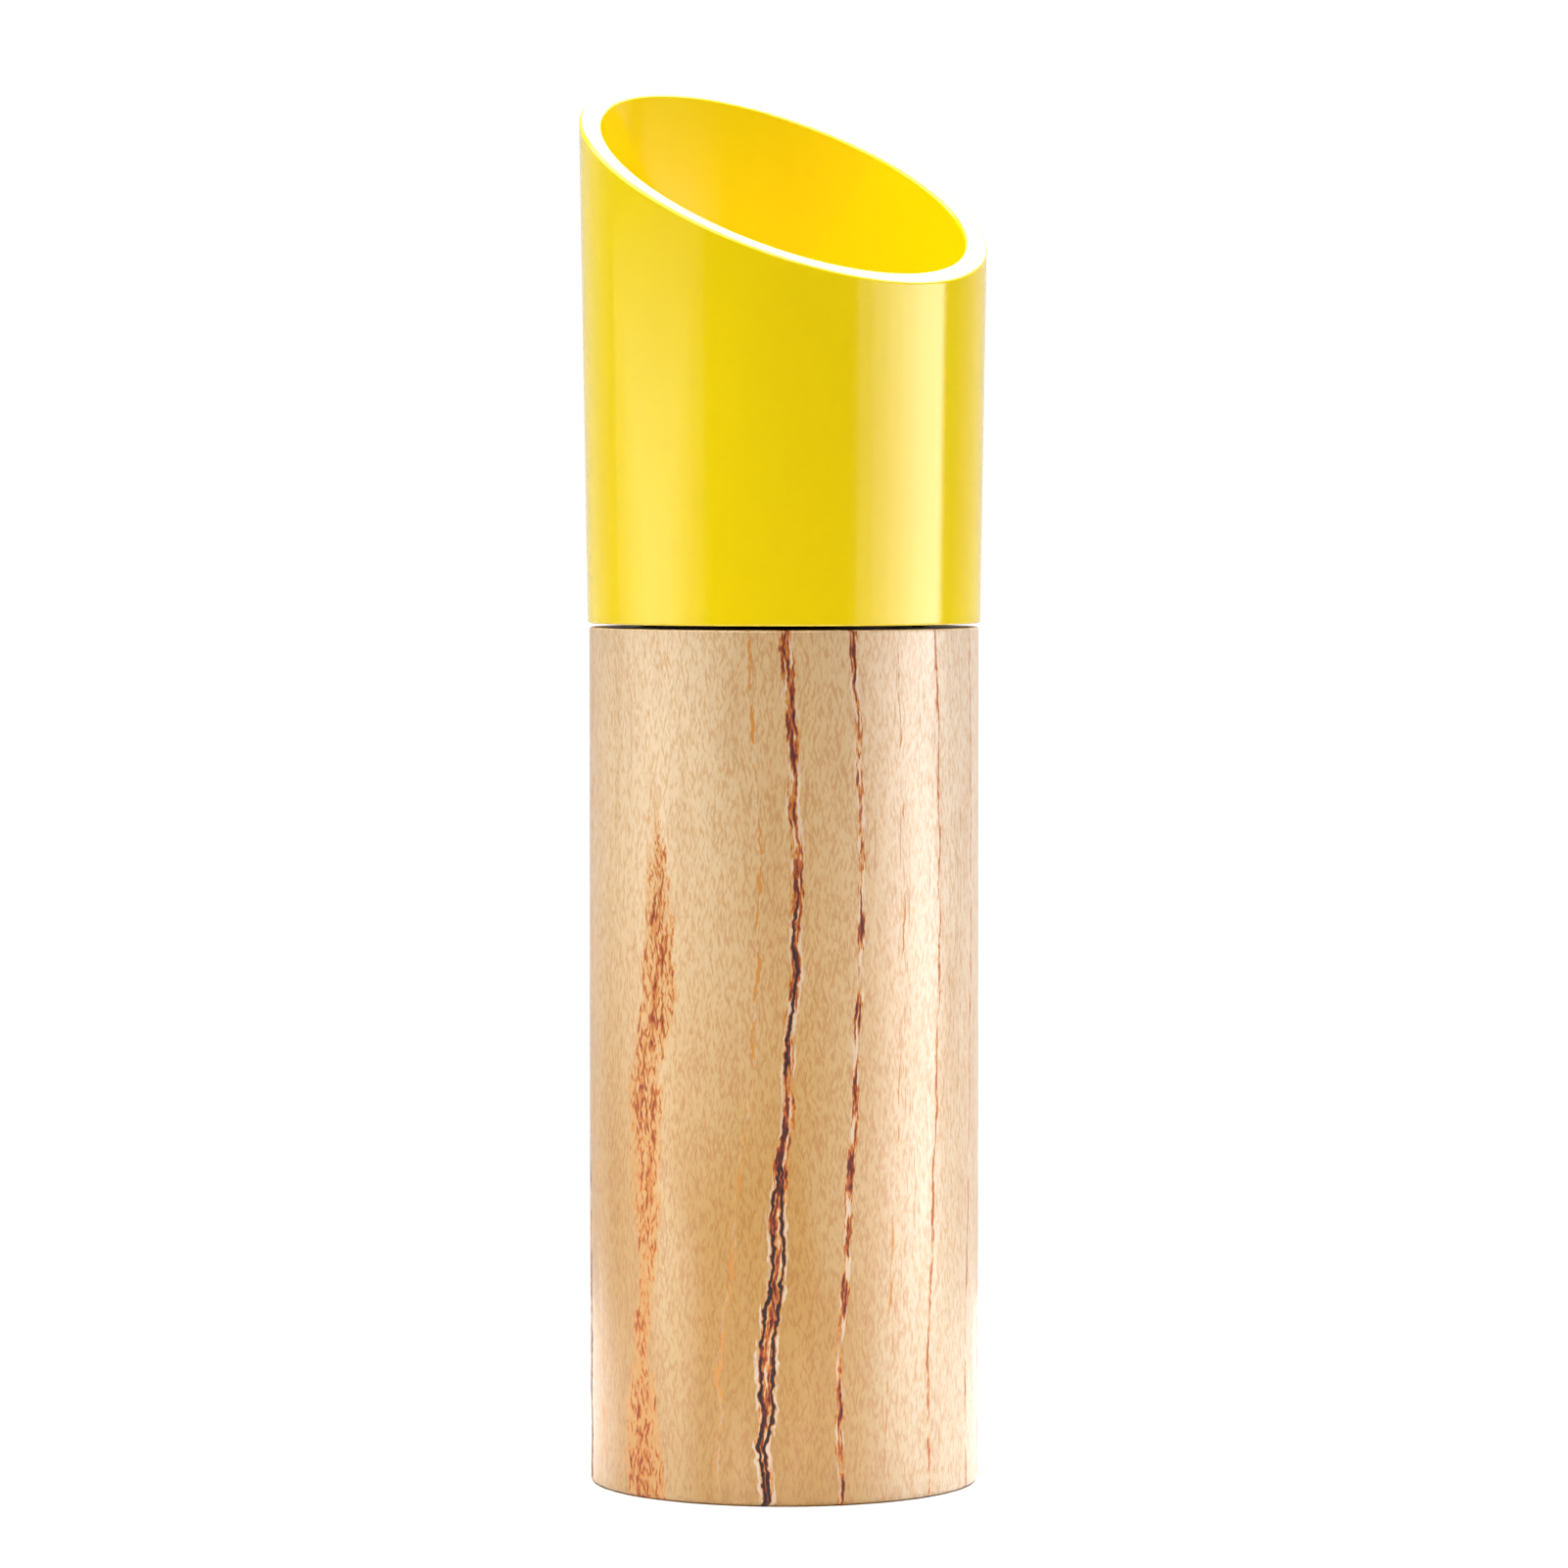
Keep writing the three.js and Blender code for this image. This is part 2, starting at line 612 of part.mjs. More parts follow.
function piece(name, geometry, material, height = 0) {
  const mesh = new THREE.Mesh(geometry, material);
  mesh.name = name;
  mesh.position.z = height;
  return mesh;
}

function hubScrews() {
  return armAngles.map((angle, i) => {
    const screw = piece(`hub_screw_${i + 1}`, hubScrew(), materials.steel, HUB_TOP + FIT);
    screw.position.x = SCREW_CIRCLE * Math.cos(angle);
    screw.position.y = SCREW_CIRCLE * Math.sin(angle);
    screw.rotation.z = angle;
    return screw;
  });
}

const standing = new THREE.Group().add(
  piece("wood_body", woodBody(), materials.ash),
  piece("mechanism_socket", mechanismSocket(), materials.black),
);

const mechanism = new THREE.Group().add(
  piece("burr_housing", burrHousing(), materials.black),
  piece("lower_oring", oring(), materials.rubber, GROOVES[0] + GROOVE_WIDTH / 2),
  piece("upper_oring", oring(), materials.rubber, GROOVES[1] + GROOVE_WIDTH / 2),
  piece("outer_burr", outerBurr(), materials.ceramic, BURR_BASE),
  piece("burr_retainer", burrRetainer(), materials.black, BURR_BASE + BURR_HEIGHT + REST),
  piece("bearing_spider", bearingSpider(), materials.black, SPIDER_BASE),
  piece("bearing_bush", bearingBush(), materials.brass, SPIDER_BASE),
);

const adjuster = new THREE.Group().add(
  piece("adjuster_knob", adjusterKnob(), materials.black, KNOB_BASE),
  piece("knob_insert", knobInsert(), materials.brass, KNOB_BASE),
);

const rotor = new THREE.Group().add(
  piece("rotor_core", rotorCore(), materials.nylon, CORE_BASE),
  piece("inner_burr", innerBurr(), materials.ceramic, ROTOR_BASE),
  piece("burr_clip", burrClip(), materials.steel, ROTOR_TOP + REST),
  adjuster,
);

const head = new THREE.Group().add(
  piece("collar", collar(), materials.yellow),
  piece("glide_washer", glideWasher(), materials.nylon, GLIDE_BASE),
  piece("drive_hub", driveHub(), materials.black, HUB_BASE),
  ...hubScrews(),
  piece("spindle", spindle(), materials.steel, SPINDLE_BASE),
  piece("spindle_washer", washer(SPINDLE_WASHER_RADIUS), materials.steel, SPINDLE_BASE + SPINDLE_HEAD + REST),
  piece("spring_washer", washer(SPRING_WASHER_RADIUS), materials.steel, SPRING_SEAT),
  piece("burr_spring", burrSpring(), materials.steel),
  rotor,
);

const mill = new THREE.Group().add(standing, mechanism, head);

export default mill;
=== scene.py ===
"""A pepper mill that stands with its grinder on top: an ash body and a slant-cut yellow collar.

Lengths are millimetres in the CAD's frame, with +Z up and the slanted rim highest on +Y, and MM
turns them into metres. Every piece is made in place and rides on its CAD body.
"""

import math

import bmesh
import bpy
from mathutils import Matrix, Vector


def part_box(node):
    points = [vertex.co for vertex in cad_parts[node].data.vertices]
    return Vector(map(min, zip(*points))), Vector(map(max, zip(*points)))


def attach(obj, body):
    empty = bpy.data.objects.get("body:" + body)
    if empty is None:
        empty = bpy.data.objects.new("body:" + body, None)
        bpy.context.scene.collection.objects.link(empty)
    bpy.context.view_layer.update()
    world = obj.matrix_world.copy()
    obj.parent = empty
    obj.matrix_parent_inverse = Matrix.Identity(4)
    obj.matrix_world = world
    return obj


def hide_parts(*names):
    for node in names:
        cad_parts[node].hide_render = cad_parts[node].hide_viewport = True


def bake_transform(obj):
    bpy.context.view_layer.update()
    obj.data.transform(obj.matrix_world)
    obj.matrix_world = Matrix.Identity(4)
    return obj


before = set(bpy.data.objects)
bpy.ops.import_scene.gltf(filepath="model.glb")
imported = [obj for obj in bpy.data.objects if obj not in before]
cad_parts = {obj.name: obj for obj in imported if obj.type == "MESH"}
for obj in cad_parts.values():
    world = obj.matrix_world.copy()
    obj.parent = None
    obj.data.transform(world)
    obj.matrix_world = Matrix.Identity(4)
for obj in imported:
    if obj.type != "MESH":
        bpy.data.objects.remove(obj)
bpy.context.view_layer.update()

MM = 0.001

SIDES = 160  # round a large piece
SMALL_SIDES = 64
WELD = 1e-7  # metres between points that are one
ON_AXIS = 1e-6  # metres
GAP = 0.1  # between a piece and the seat it is pressed into


def span(node):
    """Lowest and highest Z of a CAD node, in mm."""
    low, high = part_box(node)
    return low.z / MM, high.z / MM


def reach(node):
    """Largest radius of a CAD node that is centred on the axis, in mm."""
    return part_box(node)[1].x / MM


# ---- Dimensions shared by several pieces ----

BODY_RADIUS = reach("wood_body")
BODY_TOP = span("wood_body")[1]
BODY_FLOOR = 10
BODY_BORE = 16.8
COLLAR_BASE = span("collar")[0]
COLLAR_RADIUS = 25.2
COLLAR_FLARE = math.tan(math.radians(0.94))
COLLAR_WALL = 2.8
CUT_HEIGHT = 166.9
CUT_SLOPE = math.tan(math.radians(27.4))
SOCKET_BASE, SOCKET_TOP = span("mechanism_socket")
SOCKET_RADIUS = 18.6
SOCKET_BORE = 16.7
PLUG_BASE, HOUSING_TOP = span("burr_housing")
PLUG_RADIUS = 16.4
GROOVE_RADIUS = 15.1
GROOVE_WIDTH = 2.2
FLANGE_RADIUS = 18.4
FLANGE_TOP = HOUSING_TOP - 1
RIB_WIDTH, RIB_HEIGHT = 4, 4.3  # the socket's ribs, in the plug's slots
SLOT_WIDTH, SLOT_HEIGHT = 4.6, 4.7
HUB_BASE, HUB_TOP = span("drive_hub")
HEX_FLATS = 8.4
SPINDLE_RADIUS = 2.5
SPINDLE_BORE = SPINDLE_RADIUS + GAP
THREAD_PITCH = 0.8
SCREW_CIRCLE = 20.4
ARMS = [math.pi / 2 + i * 2 * math.pi / 3 for i in range(3)]


# ---- Mesh helpers ----

def reshaped(obj, change):
    """Runs change on a bmesh of obj's mesh, and writes it back."""
    made = bmesh.new()
    made.from_mesh(obj.data)
    change(made)
    made.to_mesh(obj.data)
    made.free()
    return obj


def face_outward(made):
    bmesh.ops.recalc_face_normals(made, faces=made.faces)


def close_axis(made):
    """Joins the points of a turned mesh that lie on its axis into one at each height."""
    bmesh.ops.remove_doubles(made, verts=made.verts, dist=WELD)
    bmesh.ops.dissolve_degenerate(made, edges=made.edges, dist=WELD)
    inner = [f for f in made.faces if all(v.co.xy.length < ON_AXIS for v in f.verts)]
    bmesh.ops.delete(made, geom=inner, context="FACES")
    face_outward(made)


def mesh_object(points, faces, name="tool"):
    """An object from points in mm, with its faces turned outward."""
    mesh = bpy.data.meshes.new(name)
    mesh.from_pydata([Vector(p) * MM for p in points], [], faces)
    obj = bpy.data.objects.new(name, mesh)
    bpy.context.collection.objects.link(obj)
    return reshaped(obj, face_outward)


def polar(radius, angle, *height):
    """A point at a radius and angle from the axis, with a height if one is given."""
    return (radius * math.cos(angle), radius * math.sin(angle), *height)


def shifted(obj, x, y):
    """Moves an object's mesh sideways, in mm."""
    obj.data.transform(Matrix.Translation((x * MM, y * MM, 0)))
    return obj


def filleted(corners, steps=6):
    """Points of a closed outline of (radius, height, fillet) corners, rounded by their fillets."""
    points = []
    for i, (x, y, fillet) in enumerate(corners):
        here = Vector((x, y))
        if fillet == 0:
            points.append((x, y))
            continue
        before = (Vector(corners[i - 1][:2]) - here).normalized()
        after = (Vector(corners[(i + 1) % len(corners)][:2]) - here).normalized()
        half = before.angle(after) / 2
        centre = here + (before + after).normalized() * fillet / math.sin(half)
        start = here + before * fillet / math.tan(half) - centre
        end = here + after * fillet / math.tan(half) - centre
        turn = start.angle_signed(end)
        for k in range(steps + 1):
            spoke = start.copy()
            spoke.rotate(Matrix.Rotation(-turn * k / steps, 2))
            points.append(tuple(centre + spoke))
    return points


def swept(outline_at, sides=SIDES):
    """A ring whose section at an angle is outline_at(angle), a closed list of (radius, height)."""
    points, faces = [], []
    for i in range(sides):
        angle = 2 * math.pi * i / sides
        outline = outline_at(angle)
        points += [polar(r, angle, z) for r, z in outline]
    count = len(outline)
    for i in range(sides):
        here, there = i * count, (i + 1) % sides * count
        for k in range(count):
            following = (k + 1) % count
            faces.append((here + k, there + k, there + following, here + following))
    return mesh_object(points, faces)


def turned(corners, sides=SIDES, steps=5):
    """A closed outline of (radius, height, fillet) corners, turned about Z."""
    outline = filleted(corners, steps)
    return reshaped(swept(lambda angle: outline, sides), close_axis)


def ring_section(inner, outer, low, high, fillet=0):
    """Corners of the square section of a ring, or of a disc if inner is 0."""
    around = ((inner, low), (outer, low), (outer, high), (inner, high))
    return [(*corner, fillet) for corner in around]


def prism(radius, base, top, sides, turn):
    """Points and faces of an upright prism, with its first corner at the angle turn."""
    rings = [
        polar(radius, turn + 2 * math.pi * i / sides, z) for z in (base, top) for i in range(sides)
    ]
    walls = [(i, (i + 1) % sides, sides + (i + 1) % sides, sides + i) for i in range(sides)]
    return rings, walls + [tuple(range(sides)), tuple(range(sides, 2 * sides))]


def disc(radius, base, top, sides=SMALL_SIDES, at=(0, 0), turn=0.0):
    """A plain cylinder or prism, for joining and cutting."""
    return shifted(mesh_object(*prism(radius, base, top, sides, turn)), *at)


def bar(inner, outer, width, base, top, angle, taper=1.0):
    """A bar that runs out along a radius, its outer end taper times as wide as its inner one."""
    points = [
        (r, side * width / 2 * (taper if r == outer else 1), z)
        for z in (base, top)
        for r, side in ((inner, -1), (outer, -1), (outer, 1), (inner, 1))
    ]
    ends = [(0, 1, 2, 3), (4, 5, 6, 7)]
    walls = [(0, 1, 5, 4), (1, 2, 6, 5), (2, 3, 7, 6), (3, 0, 4, 7)]
    obj = mesh_object(points, ends + walls)
    obj.data.transform(Matrix.Rotation(angle, 4, "Z"))
    return obj


def hex_bar(flats, base, top):
    """A hexagonal bar of this width across its flats, with a corner on +Y."""
    return disc(flats / math.sqrt(3), base, top, 6, turn=math.pi / 2)


def carved(obj, add=(), cut=()):
    """Joins and cuts tool objects with obj, and removes them."""
    for operation, tools in (("UNION", add), ("DIFFERENCE", cut)):
        for tool in tools:
            step = obj.modifiers.new("carve", "BOOLEAN")
            step.operation, step.object, step.solver = operation, tool, "EXACT"
    graph = bpy.context.evaluated_depsgraph_get()
    mesh = bpy.data.meshes.new_from_object(obj.evaluated_get(graph))
    obj.modifiers.clear()
    obj.data = mesh
    for tool in (*add, *cut):
        bpy.data.objects.remove(tool)
    return obj


def joined(obj, others):
    """Merges other objects' meshes into obj, without cutting."""
    def merge(made):
        for other in others:
            made.from_mesh(other.data)
            bpy.data.objects.remove(other)

    return reshaped(obj, merge)


BEVEL_STEPS = 3
SHARP_ANGLE = math.radians(32)  # the least angle between faces that makes an edge


def settle(obj, name, body, nodes, material, bevel=0.0):
    """Gives a piece its name, finish, edges (bevel mm wide) and place in the assembly."""
    obj.name = obj.data.name = name
    obj.data.materials.clear()
    obj.data.materials.append(material)
    obj.data.shade_smooth()
    if bevel:
        edge = obj.modifiers.new("edges", "BEVEL")
        edge.width = bevel * MM
        edge.segments = BEVEL_STEPS
        edge.limit_method = "ANGLE"
        edge.angle_limit = SHARP_ANGLE
        edge.harden_normals = True
    weighted = obj.modifiers.new("normals", "WEIGHTED_NORMAL")
    weighted.keep_sharp = True
    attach(obj, body)
    if nodes:
        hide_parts(*nodes)
    return obj


# ---- Shader helpers ----

class Graph:
    """Builds one material's nodes. Inputs are numbers, tuples or other nodes' sockets."""

    def __init__(self, name):
        self.material = bpy.data.materials.new(name)
        self.material.use_nodes = True
        self.tree = self.material.node_tree
        self.shader = self.tree.nodes["Principled BSDF"]
        self.place = self.tree.nodes.new("ShaderNodeTexCoord").outputs["Object"]

    def put(self, socket, value):
        if isinstance(value, bpy.types.NodeSocket):
            self.tree.links.new(value, socket)
        else:
            socket.default_value = value

    def outputs(self, kind, *values, **settings):
        """The outputs of a new node with these settings and these values in its first inputs."""
        node = self.tree.nodes.new("ShaderNode" + kind)
        for setting, value in settings.items():
            setattr(node, setting, value)
        for socket, value in zip(node.inputs, values):
            self.put(socket, value)
        return node.outputs

    def math(self, operation, *values, clamp=False):
        return self.outputs("Math", *values, operation=operation, use_clamp=clamp)[0]

    def vector(self, operation, *values):
        return self.outputs("VectorMath", *values, operation=operation)[0]

    def split(self, vector):
        return self.outputs("SeparateXYZ", vector)

    def join(self, x, y, z):
        return self.outputs("CombineXYZ", x, y, z)[0]

    def noise(self, cell, detail=2.0, roughness=0.5, at=None, shift=(0, 0, 0)):
        """Noise with cells of the given size in mm, one number or one for each axis.

        A shift picks another part of the noise, so that no two patterns coincide.
        """
        sizes = cell if isinstance(cell, tuple) else (cell,) * 3
        node = self.tree.nodes.new("ShaderNodeTexNoise")
        place = self.vector("MULTIPLY", at or self.place, tuple(1 / (size * MM) for size in sizes))
        self.put(node.inputs["Vector"], self.vector("ADD", place, shift))
        for name, value in (("Scale", 1.0), ("Detail", detail), ("Roughness", roughness)):
            node.inputs[name].default_value = value
        return node.outputs["Fac"]

    def twisted(self, lean):
        """The place turned about Z with height, so that upright lines lean by lean mm a mm."""
        node = self.tree.nodes.new("ShaderNodeVectorRotate")
        node.rotation_type = "Z_AXIS"
        self.put(node.inputs["Vector"], self.place)
        angle = self.times(self.split(self.place)[2], lean / (BODY_RADIUS * MM))
        self.put(node.inputs["Angle"], angle)
        return node.outputs[0]

    def remap(self, value, low, high, to_low=0.0, to_high=1.0, smooth=True):
        """Value taken from the range low to high into the range to_low to to_high, and clamped."""
        kind = "SMOOTHSTEP" if smooth else "LINEAR"
        given = value, low, high, to_low, to_high
        return self.outputs("MapRange", *given, interpolation_type=kind)[0]

    def total(self, first, *others):
        for other in others:
            first = self.math("ADD", first, other)
        return first

    def times(self, first, *others):
        for other in others:
            first = self.math("MULTIPLY", first, other)
        return first

    def minus(self, value, other):
        return self.math("SUBTRACT", value, other)

    def apart(self, value, other):
        """How far two values are from each other."""
        return self.math("ABSOLUTE", self.minus(value, other))

    def signed(self, noise, size):
        """Noise about nought, size across from its lowest to its highest."""
        return self.times(self.minus(noise, 0.5), size)

    def lookup(self, value, stops):
        """A smooth curve through (position, height) points, for values from 0 to 1."""
        node = self.tree.nodes.new("ShaderNodeFloatCurve")
        curve = node.mapping.curves[0]
        node.mapping.use_clip = False
        for position, level in stops[1:-1]:
            curve.points.new(position, level)
        curve.points[0].location = stops[0]
        curve.points[-1].location = stops[-1]
        node.mapping.update()
        self.put(node.inputs["Value"], value)
        return node.outputs[0]

    def ramp(self, value, stops):
        """A colour ramp of (position, (r, g, b)) stops."""
        node = self.tree.nodes.new("ShaderNodeValToRGB")
        self.put(node.inputs[0], value)
        made = node.color_ramp.elements
        while len(made) < len(stops):
            made.new(0.5)
        for element, (position, colour) in zip(made, stops):
            element.position, element.color = position, (*colour, 1)
        return node.outputs[0]

    def mix(self, share, first, second, blend="MIX"):
        node = self.tree.nodes.new("ShaderNodeMix")
        node.data_type, node.blend_type = "RGBA", blend
        for i, value in ((0, share), (6, first), (7, second)):  # the factor and the colour sockets
            if isinstance(value, tuple):
                value = (*value, 1)
            self.put(node.inputs[i], value)
        return node.outputs[2]

    def bump(self, height, depth):
        """A bump from a height of 0 to 1, depth mm deep."""
        node = self.tree.nodes.new("ShaderNodeBump")
        node.inputs["Strength"].default_value = 1.0
        node.inputs["Distance"].default_value = depth * MM
        self.put(node.inputs["Height"], height)
        return node.outputs[0]

    def finish(self, **inputs):
        """Sets the shader's inputs, with _ in place of a space, and returns the material."""
        for name, value in inputs.items():
            if isinstance(value, tuple) and len(value) == 3:
                value = (*value, 1)
            self.put(self.shader.inputs[name.replace("_", " ")], value)
        return self.material


# ---- Materials ----

FLAME_AZIMUTH = math.radians(188.8)  # where the growth rings lie flat against the surface
PITH = 90  # mm from the mill's axis to the tree's centre

# Each spring's ring of open pores: where it lies in mm outward from the mill's axis, half its
# width, how deep its stain is, how much that varies along the grain, and the deepest it gets
SPRING_RINGS = (
    (22.3, 0.13, 0.20, 1.2, 0.26),
    (19.8, 0.60, 0.62, 1.1, 0.92),
    (13.9, 0.50, 0.44, 2.4, 0.88),
    (8.6, 0.18, 0.16, 1.6, 0.32),
    (2.4, 0.34, 0.44, 1.4, 0.46),
    (-6.6, 0.30, 0.50, 0.9, 0.50),
    (-13.0, 0.55, 0.70, 2.0, 0.80),
    (-18.5, 0.60, 0.85, 1.6, 0.90),
    (-22.6, 0.60, 0.65, 1.8, 0.80),
)
DEEP_RING = 19.8  # this one is cracked open

# Half the flame's width in mm, and how far its middle leans, from the base (0) to the top (1)
FLAME_WIDTH = (
    (0.0, 3.9), (0.13, 2.8), (0.21, 1.5), (0.30, 2.4),
    (0.50, 3.1), (0.64, 2.8), (0.75, 1.2), (0.84, 0.0),
)
FLAME_LEAN = (
    (0.0, -0.7), (0.15, -1.5), (0.30, -0.3), (0.42, -0.7), (0.52, -0.2), (0.64, 1.5), (0.84, 0.0),
)

# The ground's colour across the mill, from the far side of the tree (0) to its outer side (1)
GROUND = (
    (0.0, (0.67, 0.49, 0.31)),
    (0.35, (0.77, 0.61, 0.45)),
    (0.58, (0.75, 0.60, 0.44)),
    (0.76, (0.66, 0.465, 0.275)),
    (0.88, (0.64, 0.425, 0.205)),
    (0.94, (0.65, 0.44, 0.225)),
    (1.0, (0.75, 0.57, 0.35)),
)
WARM_GROUND = (0.52, 0.27, 0.047)
CLOUD = (0.55, 0.32, 0.13)
FOOT_PAINTED_SHADE = (0.84, 0.84, 0.78)  # painted shade: multiplies the ground, darker towards the foot
MESH_SHADE = (0.83, 0.64, 0.46)  # multiplies the ground in the fine strokes
VESSEL = (0.45, 0.19, 0.05)
BARE = (0.80, 0.70, 0.60)
STAIN = (
    (0.0, (0.62, 0.37, 0.12)),
    (0.22, (0.60, 0.26, 0.040)),
    (0.42, (0.45, 0.11, 0.010)),
    (0.70, (0.21, 0.018, 0.003)),
    (1.0, (0.012, 0.002, 0.001)),
)
GRAIN_DEPTH = 0.12  # mm


class Grain:
    """Where a point of the body lay in the tree, in mm: outward, along the rings, and up."""

    def __init__(self, g):
        x, y, self.z = g.split(g.vector("MULTIPLY", g.place, (1 / MM,) * 3))
        east, north = math.cos(FLAME_AZIMUTH), math.sin(FLAME_AZIMUTH)
        self.out = g.total(g.times(x, east), g.times(y, north))
        self.along = g.minus(g.times(y, east), g.times(x, north))
        from_pith = g.total(self.out, PITH)
        squares = g.total(g.times(from_pith, from_pith), g.times(self.along, self.along))
        radius = g.minus(g.math("SQRT", squares), PITH)
        sway = g.math("SINE", g.times(g.minus(self.z, 42), math.pi / 75))
        wander = g.signed(g.noise((60, 60, 14), 2.0), 1.3)
        ripple = g.signed(g.noise((9, 9, 3.2), 2.0), 0.55)
        shiver = g.signed(g.noise((4, 4, 1.1), 1.0, shift=(2, 6, 3)), 0.30)
        self.ring = g.total(radius, sway, wander, ripple, shiver)
        self.place = g.vector("MULTIPLY", g.join(self.ring, self.along, self.z), (MM,) * 3)


def spindles(g, cell, lean, shift):
    """Short upright strokes that lean a little both ways and cross into a mesh."""
    leaning = [g.noise(cell, 1.0, 0.5, at=g.twisted(way), shift=shift) for way in (lean, -lean)]
    return g.math("MAXIMUM", *leaning)


def spring_wood(g, grain):
    """The stain in the spring rings, from 0 to 1, and the bare pale wood between its strokes."""
    strokes = g.noise((0.26, 2.5, 5.0), 1.0, 0.5, at=grain.place, shift=(2, 4, 6))
    pores = g.noise((0.28, 0.28, 1.2), 1.0, 0.5)
    spread = g.total(g.signed(strokes, 2.8), g.signed(pores, 1.6), -0.06)
    stain = bare = 0.0
    for seed, (at, half_width, depth, variation, deepest) in enumerate(SPRING_RINGS):
        away = g.math("DIVIDE", g.apart(grain.ring, at), half_width)
        near = g.math("SUBTRACT", 1.0, away, clamp=True)
        inside = g.math("MULTIPLY", near, 4.0, clamp=True)
        patches = g.noise((6, 6, 6), 2.0, 0.6, shift=(3.1 * seed, 5.7, 2.3 * seed))
        level = g.total(g.times(near, depth), spread, g.signed(patches, variation))
        level = g.math("MINIMUM", g.math("MULTIPLY", level, 1.0, clamp=True), deepest)
        stain = g.math("MAXIMUM", stain, g.times(inside, level))
        bare = g.math("MAXIMUM", bare, g.times(inside, deepest))
    return stain, g.times(bare, g.remap(strokes, 0.50, 0.36))


def crack(g, grain):
    """The open crack along the deep ring, which parts in two near the base, and its pale lips."""
    stray = g.signed(g.noise((30, 30, 11), 1.0, shift=(3, 3, 8)), 0.9)
    jag = g.signed(g.noise((0.5, 0.5, 1.2), 1.0, 0.5, shift=(6, 2, 5)), 0.34)
    parted = g.times(g.remap(grain.z, 46, 36), g.remap(grain.z, 2, 16, 0.12, 0.36))
    across = g.math("ABSOLUTE", g.total(grain.ring, -DEEP_RING, stray, jag))
    off = g.apart(across, parted)
    opened = g.remap(g.noise((8, 8, 9), 2.0, 0.6, shift=(7, 7, 2)), 0.32, 0.44)
    opened = g.times(opened, g.remap(grain.z, 88, 72, 0.45, 1.0))
    broken = g.remap(g.noise((0.6, 0.6, 4), 1.0, shift=(9, 4, 1)), 0.35, 0.55)
    lips = g.times(g.remap(g.apart(off, 0.26), 0.12, 0.04), opened, broken)
    return g.times(g.remap(off, 0.17, 0.06), opened), lips


def flame(g, grain):
    """A streaky patch of stain where a ring only just breaks the surface."""
    height = g.math("DIVIDE", grain.z, BODY_TOP)
    middle = g.apart(grain.along, g.lookup(height, FLAME_LEAN))
    frayed = g.signed(g.noise((1.0, 1.0, 6), 2.0, 0.6, shift=(1, 8, 2)), 3.4)
    within = g.minus(g.lookup(height, FLAME_WIDTH), g.total(middle, frayed))
    patch = g.times(g.remap(within, -0.4, 0.8), g.remap(grain.out, 20, 22))
    clumps = g.signed(g.noise((0.9, 0.9, 7), 1.0, 0.5, shift=(4, 1, 7)), 0.8)
    marks = g.remap(spindles(g, (0.38, 0.38, 1.5), 0.22, (9, 2, 4)), 0.48, 0.70, 0.05, 0.48)
    level = g.total(marks, clumps, g.remap(within, 0.0, 2.5, -0.08, 0.10))
    return g.times(patch, g.math("MAXIMUM", level, 0.15))


def summer_wood(g, grain):
    """The ground: warm by the deep ring, paler towards both sides and warmer towards the base, and
    darkened towards the foot by painted shade.
    """
    ground = g.ramp(g.remap(grain.ring, -25, 25, smooth=False), GROUND)
    warmth = g.times(
        g.remap(grain.z, 105, 20),
        g.remap(grain.ring, 4, 17, 0.2, 1.0),
        g.remap(g.noise((9, 9, 50), 1.0, shift=(6, 6, 1)), 0.3, 0.6, 0.5, 1.0),
    )
    ground = g.mix(g.times(warmth, 0.9), ground, WARM_GROUND)
    # painted shade: the ground is multiplied darker towards the foot of the body
    ground = g.mix(g.remap(grain.z, 75, 5), ground, FOOT_PAINTED_SHADE, "MULTIPLY")
    cloud = g.noise((3.5, 3.5, 22), 2.0, 0.6, shift=(3, 9, 5))
    ground = g.mix(g.remap(cloud, 0.45, 0.72, 0.0, 0.30), ground, CLOUD)
    mesh = spindles(g, (0.30, 0.30, 1.5), 0.20, (5, 3, 9))
    ground = g.mix(g.remap(mesh, 0.48, 0.70, 0.0, 0.85), ground, MESH_SHADE, "MULTIPLY")
    vessels = g.times(
        g.remap(g.noise((0.22, 0.22, 3.6), 1.0, shift=(8, 5, 2)), 0.58, 0.70),
        g.remap(g.noise((3, 3, 26), 1.0, shift=(2, 7, 7)), 0.40, 0.60),
        g.remap(grain.ring, 19, 11, 0.35, 1.0),
    )
    return g.mix(g.times(vessels, 0.75), ground, VESSEL), mesh, vessels


def ash_wood():
    """Ring-porous ash: lines of stained pores where each spring's wood reaches the surface."""
    g = Graph("ash_wood")
    grain = Grain(g)
    ground, mesh, vessels = summer_wood(g, grain)
    stain, bare = spring_wood(g, grain)
    gap, lips = crack(g, grain)
    ground = g.mix(g.times(g.math("MAXIMUM", bare, lips), 0.5), ground, BARE)
    stain = g.math("MAXIMUM", g.math("MAXIMUM", stain, gap), flame(g, grain))
    surface = g.total(g.times(mesh, -0.25), g.times(stain, -0.8), g.times(vessels, -0.2))
    dry = g.total(stain, g.times(mesh, 0.3))
    return g.finish(
        Base_Color=g.mix(g.remap(stain, 0.02, 0.28), ground, g.ramp(stain, STAIN)),
        Roughness=g.remap(dry, 0.0, 1.0, 0.42, 0.75),
        Normal=g.bump(surface, GRAIN_DEPTH),
        Coat_Weight=g.remap(stain, 0.0, 0.5, 0.6, 0.1),
        Coat_Roughness=0.24,
    )


